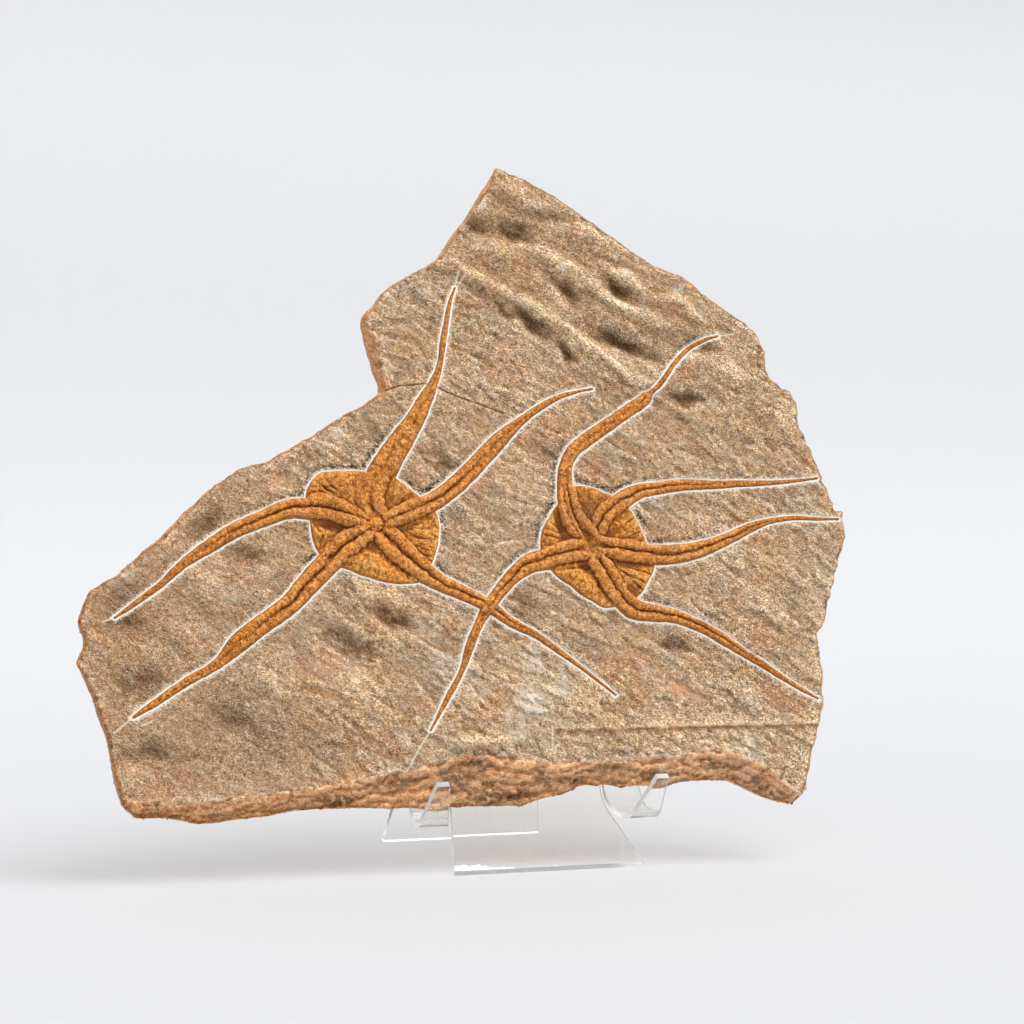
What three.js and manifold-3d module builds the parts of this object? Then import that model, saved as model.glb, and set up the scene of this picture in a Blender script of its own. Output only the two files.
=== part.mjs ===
import * as THREE from "three";
import { mergeVertices } from "three/addons/utils/BufferGeometryUtils.js";
import Module from "manifold-3d";

// A broken sandstone slab with two fossil brittle stars in low relief, leaning on an easel bent from one
// sheet of clear acrylic. Millimetres, +Z up, +X to the right, the fossil face towards -Y. The origin is on
// the ground under the middle of the whole object.

// The slab. Its own axes are X to the right, Y into the stone from its face, and Z up along the face.
const LEAN = THREE.MathUtils.degToRad(15);
const SLAB_THICKNESS = 21;
const SLAB_AT = new THREE.Vector3(0, -52.2, 24.5);
const FRONT_BEVEL = { height: 19, depth: 7 };
const BACK_BEVEL = { height: 10, depth: 9 };

// The fossils: heights are above the slab's face, and each one is bedded a little way into it.
const BED_DEPTH = 1.2;
const BED_GAP = 0.3;
const WIDEST_ARM = 10;
const ARM_RIM = 0.4;
const ARM_CREST = 1.5;
const CROSSING_RIM = 1.4;
const CROSSING_CREST = 2.6;
const DISC_RIM = 0.7;
const DISC_TOP = 1.9;
const DISC_TOP_SCALE = 0.8;
const STEPS_PER_STRETCH = 2;
const POCKET_CLEARS = 10;

// The easel. Its own axes are X to the right and Y to the back, from the middle of its front foot. A corner is
// given by its place from the side and half its width.
const EASEL_AT = new THREE.Vector3(24, -51.9, 0);
const EASEL_TURN = THREE.MathUtils.degToRad(5);
const SHEET = 2.5;
const BEND_LENGTH = 7;
const BEND_STEPS = 5;
const FRONT_FOOT = { y: 0, z: 0, half: 39.5 };
const ROOT = { y: 27, z: 22.5, half: 49 };
const APEX = { y: 54.8, z: 126.4, half: 27 };
const KNEE = { y: 95, z: 32, half: 29.5 };
const BACK_FOOT = { y: 109, z: 0, half: 35 };
const SLOT = { top: 30, tabSide: 32, hookSide: 33.5 };
const HOOK_BOTTOM = { y: 12.3, z: 17.2, inner: 38, outer: 50.5 };
const HOOK_TIP = { y: -4, z: 36, inner: 43, outer: 48 };
const JOIN_LENGTH = 15;
const BELOW_GROUND = 4;
const PAST_EVERYTHING = 400;

// The slab's broken outline, clockwise from its highest corner.
const SLAB_OUTLINE = [
  [19.5, 267], [29, 263.5], [44, 255.5], [60, 244], [74, 233], [85, 225.5], [97, 221], [107.5, 212],
  [123, 201.5], [126.5, 198], [130.5, 188.5], [131, 177.5], [139.5, 171.5], [142, 167], [142.5, 155.5],
  [149.5, 139], [153, 127.5], [155.5, 120], [158, 120], [158.5, 109.5], [152, 92], [145, 72], [142, 69],
  [142.5, 52.5], [141.5, 40.5], [139.5, 30.5], [135, 21.5], [131.5, 5], [125, -1], [120, -0.5],
  [110.5, 3.5], [98, 9.5], [85.5, 9.5], [73.5, 8.5], [59, 8], [36, 9], [34, 7], [21.5, 4.5], [11, 1.5],
  [-12.5, 2], [-27.5, 1.5], [-56, 3], [-75.5, 2.5], [-88, 0.5], [-114.5, -1.5], [-130, 1.5], [-138, 1],
  [-143, 6.5], [-147, 23], [-147, 30], [-152, 44], [-152.5, 49], [-158.5, 60], [-155, 68], [-158, 76.5],
  [-153, 88.5], [-141, 95], [-134, 102], [-118.5, 116], [-110, 124.5], [-101, 132], [-91, 137.5],
  [-81.5, 140], [-62.5, 152], [-38.5, 166], [-34.5, 169.5], [-37.5, 177.5], [-39.5, 186.5],
  [-42, 199.5], [-40.5, 203], [-36, 205.5], [-33.5, 211], [-24.5, 216.5], [-9.5, 225.5], [4, 244],
];

// Each disc is a ring of points round its mouth. Each arm runs from the mouth to its tip as [x, z, width].
const STARS = {
  star_a: {
    mouth: [-39.5, 114.5],
    disc: [
      [-66.5, 127], [-61, 135], [-54.5, 136], [-44.5, 136], [-31, 133.5], [-23, 127.5], [-14.5, 118.5],
      [-14.5, 107], [-18, 98], [-22.5, 91.5], [-33, 90.5], [-48.5, 95], [-62.5, 103], [-65.5, 115.5],
    ],
    arms: [
      [[-39.5, 114.5, 9], [-52, 118.5, 9], [-65, 120.5, 9], [-73.5, 120.5, 8], [-84.5, 116.5, 7],
       [-95.5, 112, 6.5], [-104.5, 106.5, 6], [-115.5, 99, 4.2], [-125, 90.5, 3], [-134, 84, 2.5],
       [-142.5, 78, 1.2]],
      [[-39.5, 114.5, 9], [-50.5, 106, 10], [-58.5, 99.5, 10], [-68, 90, 9.5], [-75, 82.5, 8.5],
       [-87, 74, 8], [-95.5, 67.5, 8], [-104, 59.5, 4.5], [-115.5, 53, 3.7], [-128, 45, 3.3],
       [-136.5, 39.5, 1.7]],
      [[-39.5, 114.5, 9], [-38, 124.5, 11], [-36.5, 133.5, 12], [-27, 149, 10], [-21, 157.5, 8],
       [-16, 166.5, 6.4], [-12, 174, 4], [-9, 182, 2.7], [-7.5, 190, 3], [-5.5, 199, 2.5],
       [-3.5, 207.5, 2], [-1, 214, 1.2]],
      [[-39.5, 114.5, 9], [-27.5, 119.5, 9], [-17, 123, 8], [-8.5, 128.5, 8], [0, 136, 7.8],
       [13.5, 149.5, 7], [23.5, 158, 4], [31.5, 163.5, 3.3], [40, 168, 2.5], [48.5, 170.5, 1.6],
       [54, 171.5, 1.2]],
      [[-39.5, 114.5, 9], [-31, 105, 12], [-23, 96.5, 10], [-14.5, 90.5, 7.4], [-7, 87, 6.6],
       [4.5, 81, 5.8], [13, 74.5, 4.5], [23, 69, 3.3], [30.5, 63.5, 2.9], [39, 57, 2],
       [47.5, 50, 1.6], [54, 44.5, 1.2]],
    ],
  },
  star_b: {
    mouth: [49, 104.5],
    disc: [
      [27.5, 105], [29, 112.5], [35, 121.5], [43, 130], [54.5, 128], [66, 120], [72, 106], [74.5, 97],
      [71.5, 91], [65.5, 83.5], [53.5, 80], [46.5, 83], [38.5, 89], [31.5, 95],
    ],
    arms: [
      [[49, 104.5, 9], [44, 113, 9], [40, 122.5, 8], [39.5, 131, 7], [40.5, 138.5, 6], [44, 145, 6],
       [49.5, 149.5, 6.3], [58.5, 155.5, 6], [69, 162.5, 5.8], [76, 167, 5], [83, 173.5, 2.7],
       [89.5, 182, 2.5], [97, 189.5, 2.5], [104.5, 193.5, 1.7], [110, 195, 1.2]],
      [[49, 104.5, 9], [56, 114, 9], [62.5, 123.5, 8.3], [70.5, 128, 6.6], [79, 129.5, 5.8],
       [90, 131, 5.2], [103, 131, 4], [114, 131.5, 3.3], [127, 132, 2.5], [140.5, 133, 1.7],
       [148.5, 134, 1.2]],
      [[49, 104.5, 9], [60, 103.5, 9.5], [72.5, 101.5, 9], [85.5, 102, 8.3], [95.5, 104, 7],
       [106.5, 108, 5.5], [116.5, 112.5, 4.6], [125.5, 115.5, 2.9], [136.5, 117, 2.3],
       [147.5, 116.5, 1.7], [156, 116.5, 1.2]],
      [[49, 104.5, 9], [53.5, 96.5, 10], [58, 87, 10], [64, 79.5, 9.2], [72.5, 77.5, 7.5],
       [81, 76, 6.2], [92, 71.5, 5.2], [101.5, 66, 5], [109.5, 60.5, 3.8], [117.5, 55.5, 3.3],
       [125.5, 50, 2.5], [133.5, 45, 2], [139.5, 41.5, 1.2]],
      [[49, 104.5, 9], [39, 101.5, 9.5], [29.5, 100, 9.2], [22, 98, 8.3], [15, 93, 6.6], [9, 86.5, 5.8],
       [4.5, 81, 5.4], [0, 74, 4], [-4.5, 64.5, 4], [-8, 55.5, 2.7], [-14, 45.5, 2.7], [-19, 37, 1.7],
       [-22, 32, 1.2]],
    ],
  },
};
const OVERLYING_ARM = "star_b_arm_5";
const UNDERLYING_ARM = "star_a_arm_5";

const COLOURS = {
  slab: new THREE.MeshStandardMaterial({ color: "#a98b6b", roughness: 0.9, metalness: 0 }),
  fossil: new THREE.MeshStandardMaterial({ color: "#b8733a", roughness: 0.75, metalness: 0 }),
  acrylic: new THREE.MeshStandardMaterial({
    color: "#eef3f4", roughness: 0.05, metalness: 0, transparent: true, opacity: 0.3,
  }),
};

const manifold = await Module();
manifold.setup();

function toSolid(geometry) {
  const bare = geometry.index ? geometry.toNonIndexed() : geometry.clone();
  bare.deleteAttribute("normal");
  bare.deleteAttribute("uv");
  const merged = mergeVertices(bare, 1e-4);
  return new manifold.Manifold(new manifold.Mesh({
    numProp: 3,
    vertProperties: new Float32Array(merged.getAttribute("position").array),
    triVerts: new Uint32Array(merged.getIndex().array),
  }));
}

function toGeometry(solid) {
  const mesh = solid.getMesh();
  const geometry = new THREE.BufferGeometry();
  geometry.setAttribute("position", new THREE.BufferAttribute(new Float32Array(mesh.vertProperties), 3));
  geometry.setIndex(new THREE.BufferAttribute(new Uint32Array(mesh.triVerts), 1));
  geometry.computeVertexNormals();
  return geometry;
}

// A closed solid through rings of equal length, its two ends closed by fans round their middles.
function loft(rings) {
  const count = rings[0].length;
  const points = rings.flat();
  const triangles = [];
  for (let r = 0; r + 1 < rings.length; r += 1) {
    for (let i = 0; i < count; i += 1) {
      const a = r * count + i;
      const b = r * count + ((i + 1) % count);
      triangles.push(a, b, b + count, a, b + count, a + count);
    }
  }
  for (const [ring, start] of [[rings[0], 0], [rings.at(-1), (rings.length - 1) * count]]) {
    const middle = points.length;
    points.push(ring.reduce((sum, p) => sum.add(p), new THREE.Vector3()).divideScalar(count));
    for (let i = 0; i < count; i += 1) {
      const a = start + i;
      const b = start + ((i + 1) % count);
      triangles.push(...(start === 0 ? [middle, b, a] : [middle, a, b]));
    }
  }
  if (signedVolume(points, triangles) < 0) {
    triangles.reverse();
  }
  const geometry = new THREE.BufferGeometry().setFromPoints(points);
  geometry.setIndex(triangles);
  return geometry;
}

function signedVolume(points, triangles) {
  let six = 0;
  for (let t = 0; t < triangles.length; t += 3) {
    const [a, b, c] = [0, 1, 2].map((k) => points[triangles[t + k]]);
    six += a.dot(new THREE.Vector3().crossVectors(b, c));
  }
  return six / 6;
}

// An arm: a low ridge along a smooth line, its sides bedded in the stone. grow widens it and sinks its floor.
function ridge(arm, rim, crest, grow = 0, clearAbove = 0) {
  const line = arm.map(([x, z]) => new THREE.Vector3(x, 0, z));
  const curve = new THREE.CatmullRomCurve3(line, false, "centripetal");
  const steps = (arm.length - 1) * STEPS_PER_STRETCH;
  const rings = [];
  for (let i = 0; i <= steps; i += 1) {
    const place = (i / steps) * (arm.length - 1);
    const before = Math.min(Math.floor(place), arm.length - 2);
    const width = THREE.MathUtils.lerp(arm[before][2], arm[before + 1][2], place - before);
    const along = curve.getTangent(i / steps);
    const middle = curve.getPoint(i / steps);
    if (i === steps) {
      middle.addScaledVector(along, grow);
    }
    const side = new THREE.Vector3(-along.z, 0, along.x).multiplyScalar(width / 2 + grow);
    const fullness = Math.min(1, 0.45 + width / WIDEST_ARM);
    const at = (share, y) => middle.clone().addScaledVector(side, share).setY(y);
    rings.push([
      at(-1, BED_DEPTH + grow),
      at(1, BED_DEPTH + grow),
      at(1, -rim - clearAbove),
      at(0, -crest * fullness - clearAbove),
      at(-1, -rim - clearAbove),
    ]);
  }
  return loft(rings);
}

// A disc: a low pad with a sloping shoulder.
function pad(outline, [mouthX, mouthZ], grow = 0, clearAbove = 0) {
  const curve = new THREE.CatmullRomCurve3(outline.map(([x, z]) => new THREE.Vector3(x, 0, z)), true);
  const mouth = new THREE.Vector3(mouthX, 0, mouthZ);
  const points = curve.getPoints(outline.length * STEPS_PER_STRETCH).slice(0, -1);
  const ring = (scale, y) => points.map((p) => {
    const out = p.clone().sub(mouth);
    return mouth.clone().addScaledVector(out, scale + grow / out.length()).setY(y);
  });
  return loft([
    ring(1, BED_DEPTH + grow),
    ring(1, -DISC_RIM - clearAbove),
    ring(DISC_TOP_SCALE, -DISC_TOP - clearAbove),
  ]);
}

// The slab: its outline given its thickness, with the lower edge broken away at a slope in front and behind.
function slabBlock() {
  const shape = new THREE.Shape(SLAB_OUTLINE.map(([x, z]) => new THREE.Vector2(x, z)));
  const block = new THREE.ExtrudeGeometry(shape, { depth: SLAB_THICKNESS, bevelEnabled: false });
  block.rotateX(Math.PI / 2);
  block.translate(0, SLAB_THICKNESS, 0);
  return toSolid(block)
    .subtract(lowerEdgeWedge(0, FRONT_BEVEL.depth, FRONT_BEVEL.height))
    .subtract(lowerEdgeWedge(SLAB_THICKNESS, SLAB_THICKNESS - BACK_BEVEL.depth, BACK_BEVEL.height));
}

// A prism along X that cuts the lower edge from height at one face down to nothing at the edge's rim.
function lowerEdgeWedge(faceY, rimY, height) {
  const outside = 2 * faceY - rimY;
  const inside = 2 * rimY - faceY;
  const rings = [-PAST_EVERYTHING, PAST_EVERYTHING].map((x) => [
    new THREE.Vector3(x, outside, 2 * height),
    new THREE.Vector3(x, inside, -height),
    new THREE.Vector3(x, outside, -height),
  ]);
  return toSolid(loft(rings));
}

// A stretch of the bent sheet. Each corner is [y, z, left, right]: its place from the side, and how far the
// sheet reaches along X there. Inner corners are bent round, and the widths change evenly along each stretch.
function bentSheet(corners) {
  const stations = [corners[0]];
  const mix = (a, b, share) => a.map((value, k) => THREE.MathUtils.lerp(value, b[k], share));
  for (let i = 1; i + 1 < corners.length; i += 1) {
    const [before, corner, after] = [corners[i - 1], corners[i], corners[i + 1]];
    const length = (a, b) => Math.hypot(a[0] - b[0], a[1] - b[1]);
    const start = mix(corner, before, BEND_LENGTH / length(corner, before));
    const end = mix(corner, after, BEND_LENGTH / length(corner, after));
    for (let step = 0; step <= BEND_STEPS; step += 1) {
      const t = step / BEND_STEPS;
      stations.push(mix(mix(start, corner, t), mix(corner, end, t), t));
    }
  }
  stations.push(corners.at(-1));
  const rings = stations.map(([y, z, left, right], i) => {
    const before = stations[Math.max(i - 1, 0)];
    const after = stations[Math.min(i + 1, stations.length - 1)];
    const along = new THREE.Vector2(after[0] - before[0], after[1] - before[1]).normalize();
    const half = SHEET / 2;
    const at = (x, side) => new THREE.Vector3(x, y - along.y * half * side, z + along.x * half * side);
    return [at(left, -1), at(right, -1), at(right, 1), at(left, 1)];
  });
  return toSolid(loft(rings));
}

// The point that a straight stretch from one corner through another reaches below the ground.
function buried(from, through) {
  const share = (from.z + BELOW_GROUND) / (from.z - through.z);
  return [THREE.MathUtils.lerp(from.y, through.y, share), -BELOW_GROUND, -through.half, through.half];
}

// The easel: its rest and back leg, its front tab and its two hooks, joined where they leave one sheet.
function easelSheet() {
  const corner = ({ y, z, half }) => [y, z, -half, half];
  const onRest = (z) => [THREE.MathUtils.mapLinear(z, ROOT.z, APEX.z, ROOT.y, APEX.y), z];
  const join = onRest(SLOT.top + JOIN_LENGTH);
  const restAndLeg = bentSheet([
    [...onRest(SLOT.top), -ROOT.half, ROOT.half],
    corner(APEX),
    corner(KNEE),
    buried(KNEE, BACK_FOOT),
  ]);
  const tab = bentSheet([
    [...join, -SLOT.tabSide, SLOT.tabSide],
    [ROOT.y, ROOT.z, -SLOT.tabSide, SLOT.tabSide],
    buried(ROOT, FRONT_FOOT),
  ]);
  const hooks = [-1, 1].map((hand) => {
    const reach = (inner, outer) => (hand < 0 ? [-outer, -inner] : [inner, outer]);
    return bentSheet([
      [...join, ...reach(SLOT.hookSide, SLOT.hookSide + (HOOK_BOTTOM.outer - HOOK_BOTTOM.inner))],
      [ROOT.y, ROOT.z, ...reach(SLOT.hookSide, ROOT.half)],
      [HOOK_BOTTOM.y, HOOK_BOTTOM.z, ...reach(HOOK_BOTTOM.inner, HOOK_BOTTOM.outer)],
      [HOOK_TIP.y, HOOK_TIP.z, ...reach(HOOK_TIP.inner, HOOK_TIP.outer)],
    ]);
  });
  const ground = new THREE.BoxGeometry(PAST_EVERYTHING, PAST_EVERYTHING, PAST_EVERYTHING);
  ground.translate(0, 0, -PAST_EVERYTHING / 2);
  return restAndLeg.add(tab).add(hooks[0]).add(hooks[1]).subtract(toSolid(ground));
}

function named(name, geometry, material) {
  const mesh = new THREE.Mesh(geometry, material.clone());
  mesh.name = name;
  return mesh;
}

const stone = new THREE.Group();
stone.position.copy(SLAB_AT);
stone.rotation.x = -LEAN;

const solids = {};
const grown = {};
for (const [star, { mouth, disc, arms }] of Object.entries(STARS)) {
  solids[`${star}_disc`] = toSolid(pad(disc, mouth));
  grown[`${star}_disc`] = toSolid(pad(disc, mouth, BED_GAP, POCKET_CLEARS));
  arms.forEach((arm, i) => {
    const name = `${star}_arm_${i + 1}`;
    const heights = name === OVERLYING_ARM ? [CROSSING_RIM, CROSSING_CREST] : [ARM_RIM, ARM_CREST];
    solids[name] = toSolid(ridge(arm, ...heights)).subtract(grown[`${star}_disc`]);
    grown[name] = toSolid(ridge(arm, ...heights, BED_GAP, POCKET_CLEARS));
  });
}
const underneath = toSolid(ridge(STARS.star_a.arms[4], ARM_RIM, ARM_CREST, BED_GAP, BED_GAP));
solids[OVERLYING_ARM] = solids[OVERLYING_ARM].subtract(underneath);

let slab = slabBlock();
for (const pocket of Object.values(grown)) {
  slab = slab.subtract(pocket);
}
stone.add(named("slab", toGeometry(slab), COLOURS.slab));
for (const [name, solid] of Object.entries(solids)) {
  stone.add(named(name, toGeometry(solid), COLOURS.fossil));
}

const easel = named("easel", toGeometry(easelSheet()), COLOURS.acrylic);
easel.position.copy(EASEL_AT);
easel.rotation.z = EASEL_TURN;

const brittleStarOnEasel = new THREE.Group();
brittleStarOnEasel.add(stone, easel);

export default brittleStarOnEasel;
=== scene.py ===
import math
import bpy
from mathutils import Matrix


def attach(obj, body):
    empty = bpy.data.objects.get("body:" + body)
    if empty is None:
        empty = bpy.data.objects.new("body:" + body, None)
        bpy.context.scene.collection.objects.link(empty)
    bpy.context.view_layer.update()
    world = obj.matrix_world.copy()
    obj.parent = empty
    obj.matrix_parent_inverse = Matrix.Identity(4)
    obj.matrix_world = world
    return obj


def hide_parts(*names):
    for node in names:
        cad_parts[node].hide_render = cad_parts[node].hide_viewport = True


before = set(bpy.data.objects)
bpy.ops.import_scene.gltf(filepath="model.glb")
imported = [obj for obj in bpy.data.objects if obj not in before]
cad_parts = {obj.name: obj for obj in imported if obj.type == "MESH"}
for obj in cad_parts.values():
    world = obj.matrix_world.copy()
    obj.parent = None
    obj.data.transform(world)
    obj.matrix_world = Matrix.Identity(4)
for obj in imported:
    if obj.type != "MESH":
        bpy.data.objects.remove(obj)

from types import SimpleNamespace

import bmesh
import bpy
import numpy as np
from bpy.props import FloatProperty, FloatVectorProperty, IntProperty, PointerProperty
from bpy.types import Operator, Panel, PropertyGroup
from mathutils import Matrix, Vector
from mathutils.geometry import delaunay_2d_cdt

# A slab of sandstone with two fossil brittle stars, on an easel bent from clear acrylic. The slab's own
# axes are x to the right, w up its face and d into the stone, in millimetres. Objects are in metres.

bl_info = {
    "name": "Fossil brittle star slab",
    "version": (1, 0, 0),
    "blender": (4, 5, 0),
    "location": "3D View > Sidebar > Fossil",
    "description": "Builds the carved finish of a fossil slab and its easel round the CAD frame",
    "category": "Object",
}

MM = 0.001
# A distance, in millimetres, that stands for nowhere near.
FAR = 40.0
# The spacing of the places on an arm's or a disc's line.
LINE_STEP = 0.45

# The slab's broken outline as it is seen from in front, clockwise from its highest corner: x, w.
OUTLINE = [
    (19.5, 267), (29, 263.5), (44, 255.5), (60, 244), (74, 233), (85, 225.5), (97, 221), (107.5, 212),
    (123, 201.5), (126.5, 198), (130.5, 188.5), (131, 177.5), (139.5, 171.5), (142, 167), (142.5, 155.5),
    (149.5, 139), (153, 127.5), (155.5, 120), (158, 120), (158.5, 109.5), (152, 92), (145, 72), (142, 69),
    (142.5, 52.5), (141.5, 40.5), (139.5, 30.5), (135, 21.5), (131.5, 5), (125, -1), (120, -0.5),
    (110.5, 3.5), (98, 9.5), (85.5, 9.5), (73.5, 8.5), (59, 8), (36, 9), (34, 7), (21.5, 4.5), (11, 1.5),
    (-12.5, 2), (-27.5, 1.5), (-56, 3), (-75.5, 2.5), (-88, 0.5), (-114.5, -1.5), (-130, 1.5), (-138, 1),
    (-143, 6.5), (-147, 23), (-147, 30), (-152, 44), (-152.5, 49), (-158.5, 60), (-155, 68), (-158, 76.5),
    (-153, 88.5), (-141, 95), (-134, 102), (-118.5, 116), (-110, 124.5), (-101, 132), (-91, 137.5),
    (-81.5, 140), (-62.5, 152), (-38.5, 166), (-34.5, 169.5), (-37.5, 177.5), (-39.5, 186.5), (-42, 199.5),
    (-40.5, 203), (-36, 205.5), (-33.5, 211), (-24.5, 216.5), (-9.5, 225.5), (4, 244),
]
# The line below which the lower edge is broken away: x, w.
BEVEL_TOP = [
    (-160, 7.5), (-142, 7.5), (-112, 7), (-93, 8.5), (-68, 11), (-53, 14), (-32, 17), (-18, 20),
    (-10, 22.5), (-2, 23), (12.5, 21), (28.5, 18), (45, 18.5), (74.5, 20.5), (91.5, 22.5), (108, 18.5),
    (116, 14.5), (123, 9), (126.5, 4), (160, 2),
]

# The stars. A disc is a ring round the mouth: x, w. An arm runs from the mouth to its tip: x, w, width. The
# ridges cross the disc: x, w, half breadth, height. Browns darken the disc, mounds raise it and pockets cut
# into it: x, w, half length, half breadth, angle, amount. Each arm's groove ends at a share of its length
# and lies from -1 to 1 between its edges. Streaks wrinkle the disc: angle round the mouth, strength.
# Powder is white dust left in a corner: x, w, radius, strength.
ARM_ROOT_WIDTH = 9
STAR_A = {
    "mouth": (-39.5, 114.5),
    "disc": [
        (-66.5, 127), (-61, 135), (-54.5, 136), (-44.5, 136), (-31, 133.5), (-23, 127.5), (-14.5, 118.5),
        (-14.5, 107), (-18, 98), (-22.5, 91.5), (-33, 90.5), (-48.5, 95), (-62.5, 103), (-65.5, 115.5),
    ],
    "arms": [
        [(-52, 118.5, 9), (-65, 120.5, 9), (-73.5, 120.5, 8), (-84.5, 116.5, 7), (-95.5, 112, 6.5),
         (-104.5, 106.5, 6), (-115.5, 99, 4.2), (-125, 90.5, 3), (-134, 84, 2.5), (-142.5, 78, 1.2)],
        [(-50.5, 106, 10), (-58.5, 99.5, 10), (-68, 90, 9.5), (-75, 82.5, 8.5), (-87, 74, 8),
         (-95.5, 67.5, 8), (-104, 59.5, 4.5), (-115.5, 53, 3.7), (-128, 45, 3.3), (-136.5, 39.5, 1.7)],
        [(-38, 124.5, 11), (-36.5, 133.5, 12), (-27, 149, 10), (-21, 157.5, 8), (-16, 166.5, 6.4),
         (-12, 174, 4), (-9, 182, 2.7), (-7.5, 190, 3), (-5.5, 199, 2.5), (-3.5, 207.5, 2), (-1, 214, 1.2)],
        [(-27.5, 119.5, 9), (-17, 123, 8), (-8.5, 128.5, 8), (0, 136, 7.8), (13.5, 149.5, 7),
         (23.5, 158, 4), (31.5, 163.5, 3.3), (40, 168, 2.5), (48.5, 170.5, 1.6), (54, 171.5, 1.2)],
        [(-31, 105, 12), (-23, 96.5, 10), (-14.5, 90.5, 7.4), (-7, 87, 6.6), (4.5, 81, 5.8),
         (13, 74.5, 4.5), (23, 69, 3.3), (30.5, 63.5, 2.9), (39, 57, 2), (47.5, 50, 1.6), (54, 44.5, 1.2)],
    ],
    "ridges": [
        [(-75, 121.6, 2.0, 2.3), (-67, 123.3, 2.4, 2.6), (-60.5, 124.6, 2.9, 2.8), (-54, 122.7, 2.8, 2.8),
         (-47.3, 119.5, 2.6, 2.8), (-43, 117, 1.9, 2.4)],
        [(-75, 118, 2.0, 2.3), (-65, 119, 2.3, 2.6), (-58.3, 118.3, 2.4, 2.8), (-51.7, 116.4, 2.6, 3.0),
         (-45, 114.8, 2.4, 2.8), (-42.7, 114.4, 1.7, 2.3)],
        [(-43, 113.1, 1.7, 2.4), (-46, 112.2, 2.4, 2.9), (-51.7, 109.4, 2.7, 3.0), (-57, 105.4, 2.8, 3.0),
         (-62, 101.2, 2.7, 2.8), (-68, 94.5, 2.5, 2.6), (-74, 87.5, 2.3, 2.4)],
        [(-40.6, 110.9, 1.6, 2.3), (-42.6, 109.4, 2.4, 2.8), (-47.3, 106.2, 2.7, 2.9),
         (-51.7, 102.8, 2.7, 2.9), (-58.3, 96.4, 2.5, 2.7), (-66, 88, 2.4, 2.5)],
        [(-35.2, 116.4, 1.8, 2.4), (-36.4, 119, 2.5, 2.8), (-38, 122, 2.9, 2.9), (-38.7, 126, 3.4, 3.0),
         (-37.8, 131, 4.0, 3.0), (-35.4, 136, 4.6, 3.1), (-33, 141, 5.0, 3.0)],
        [(-41.4, 117, 1.7, 2.3), (-43.4, 120.5, 2.5, 2.6), (-45, 125.4, 3.2, 2.6), (-45.2, 130.3, 3.6, 2.2),
         (-43, 134.4, 3, 1.4)],
        [(-42.6, 124, 2.2, 2.5), (-42, 128, 3.6, 2.8), (-40.5, 132, 4.2, 2.9), (-38, 136, 4.6, 3.0)],
        [(-35.8, 116.8, 1.7, 2.4), (-33, 118.4, 2.2, 2.8), (-27, 121.2, 2.5, 2.9), (-20, 124.4, 2.4, 2.7),
         (-12, 128.2, 2.2, 2.5), (-5, 133.5, 2.1, 2.4)],
        [(-36, 113.8, 1.7, 2.4), (-33, 114.6, 2.4, 2.8), (-27.5, 117, 2.5, 2.9), (-19.5, 120.2, 2.3, 2.7),
         (-11, 124.2, 2.2, 2.5), (-3, 129.8, 2.1, 2.4)],
        [(-39.3, 110.5, 1.7, 2.4), (-38, 108.2, 2.4, 2.8), (-34.8, 104.2, 2.7, 3.0),
         (-29.6, 99.2, 2.6, 2.9), (-23.6, 94.4, 2.3, 2.7), (-15.5, 89.2, 2.0, 2.4)],
        [(-35.9, 112, 1.7, 2.4), (-32.6, 110.6, 2.4, 2.8), (-29.2, 107.4, 2.6, 3.0), (-25.4, 103, 2.4, 2.9),
         (-20.2, 98, 2.2, 2.7), (-13, 92.4, 1.9, 2.4)],
    ],
    "browns": [
        (-57, 113.4, 8, 2.2, -12, 0.8), (-30, 112.8, 4, 2, 40, 0.6), (-33, 124, 3, 4, 0, 0.3),
        (-40.5, 105, 2.6, 2.2, 0, 0.35), (-54, 128, 8, 3, -40, 0.3), (-64, 108, 3, 3, 0, 0.3),
    ],
    "groove_ends": (0.55, 0.5, 0.17, 0.42, 0.62),
    "groove_middles": (0, 0, 0.25, 0.05, 0),
    "mounds": [
        (-49, 128, 7, 6, -20, 1.1), (-47, 98.5, 6, 2.8, -20, 1.3), (-38, 95.5, 8, 2.8, -20, 1.4),
        (-39, 100.5, 5, 3, -30, 0.9), (-61, 110.5, 5, 3, -40, 0.9), (-19, 106, 4, 7, 0, 0.7),
        (-27, 127, 6, 3, -30, 0.5),
    ],
    "pockets": [
        (-57.4, 113.6, 8, 1.9, -14, 1.8), (-52, 112.4, 3, 1.7, -10, 1.0), (-41.6, 105.2, 2.8, 2.2, 0, 1.1),
        (-35.5, 99.5, 7, 1.4, -45, 0.7), (-30.4, 110.8, 2.6, 1.7, 30, 1.5), (-25.5, 113.2, 6, 1.3, 28, 1.1),
        (-33.8, 123.5, 3.2, 1.3, 80, 1.0), (-28.5, 124, 5, 1.0, 28, 0.5),
        (-39.6, 118.8, 3.6, 0.8, -61, 1.3), (-22.5, 108.8, 2.8, 0.7, -15, 1.0),
        (-19.6, 101.5, 3, 0.6, -10, 0.6), (-21.5, 104.6, 3.6, 0.45, -26, 0.6),
        (-58.2, 128.5, 2.9, 0.5, -35, 1.2), (-56, 129.4, 2.6, 0.45, -43, 1.0),
        (-60.2, 127.2, 2.3, 0.45, -31, 0.9), (-62.5, 112, 2.6, 0.5, -60, 0.7),
        (-31, 94.5, 4, 0.5, -60, 0.4), (-61, 109, 3, 0.45, 60, 0.5),
    ],
    "streaks": [
        (0, 0.24), (60, 0.15), (100, 0.08), (150, 0.12), (190, 0.1), (258, 0.14), (300, 0.2), (332, 0.3),
        (360, 0.24),
    ],
    "powder": [
        (-28.4, 103, 2, 1), (-28, 97.5, 2.4, 1), (-25.4, 91.5, 3, 0.9), (-23.8, 94.4, 3, 0.8),
    ],
}
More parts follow.
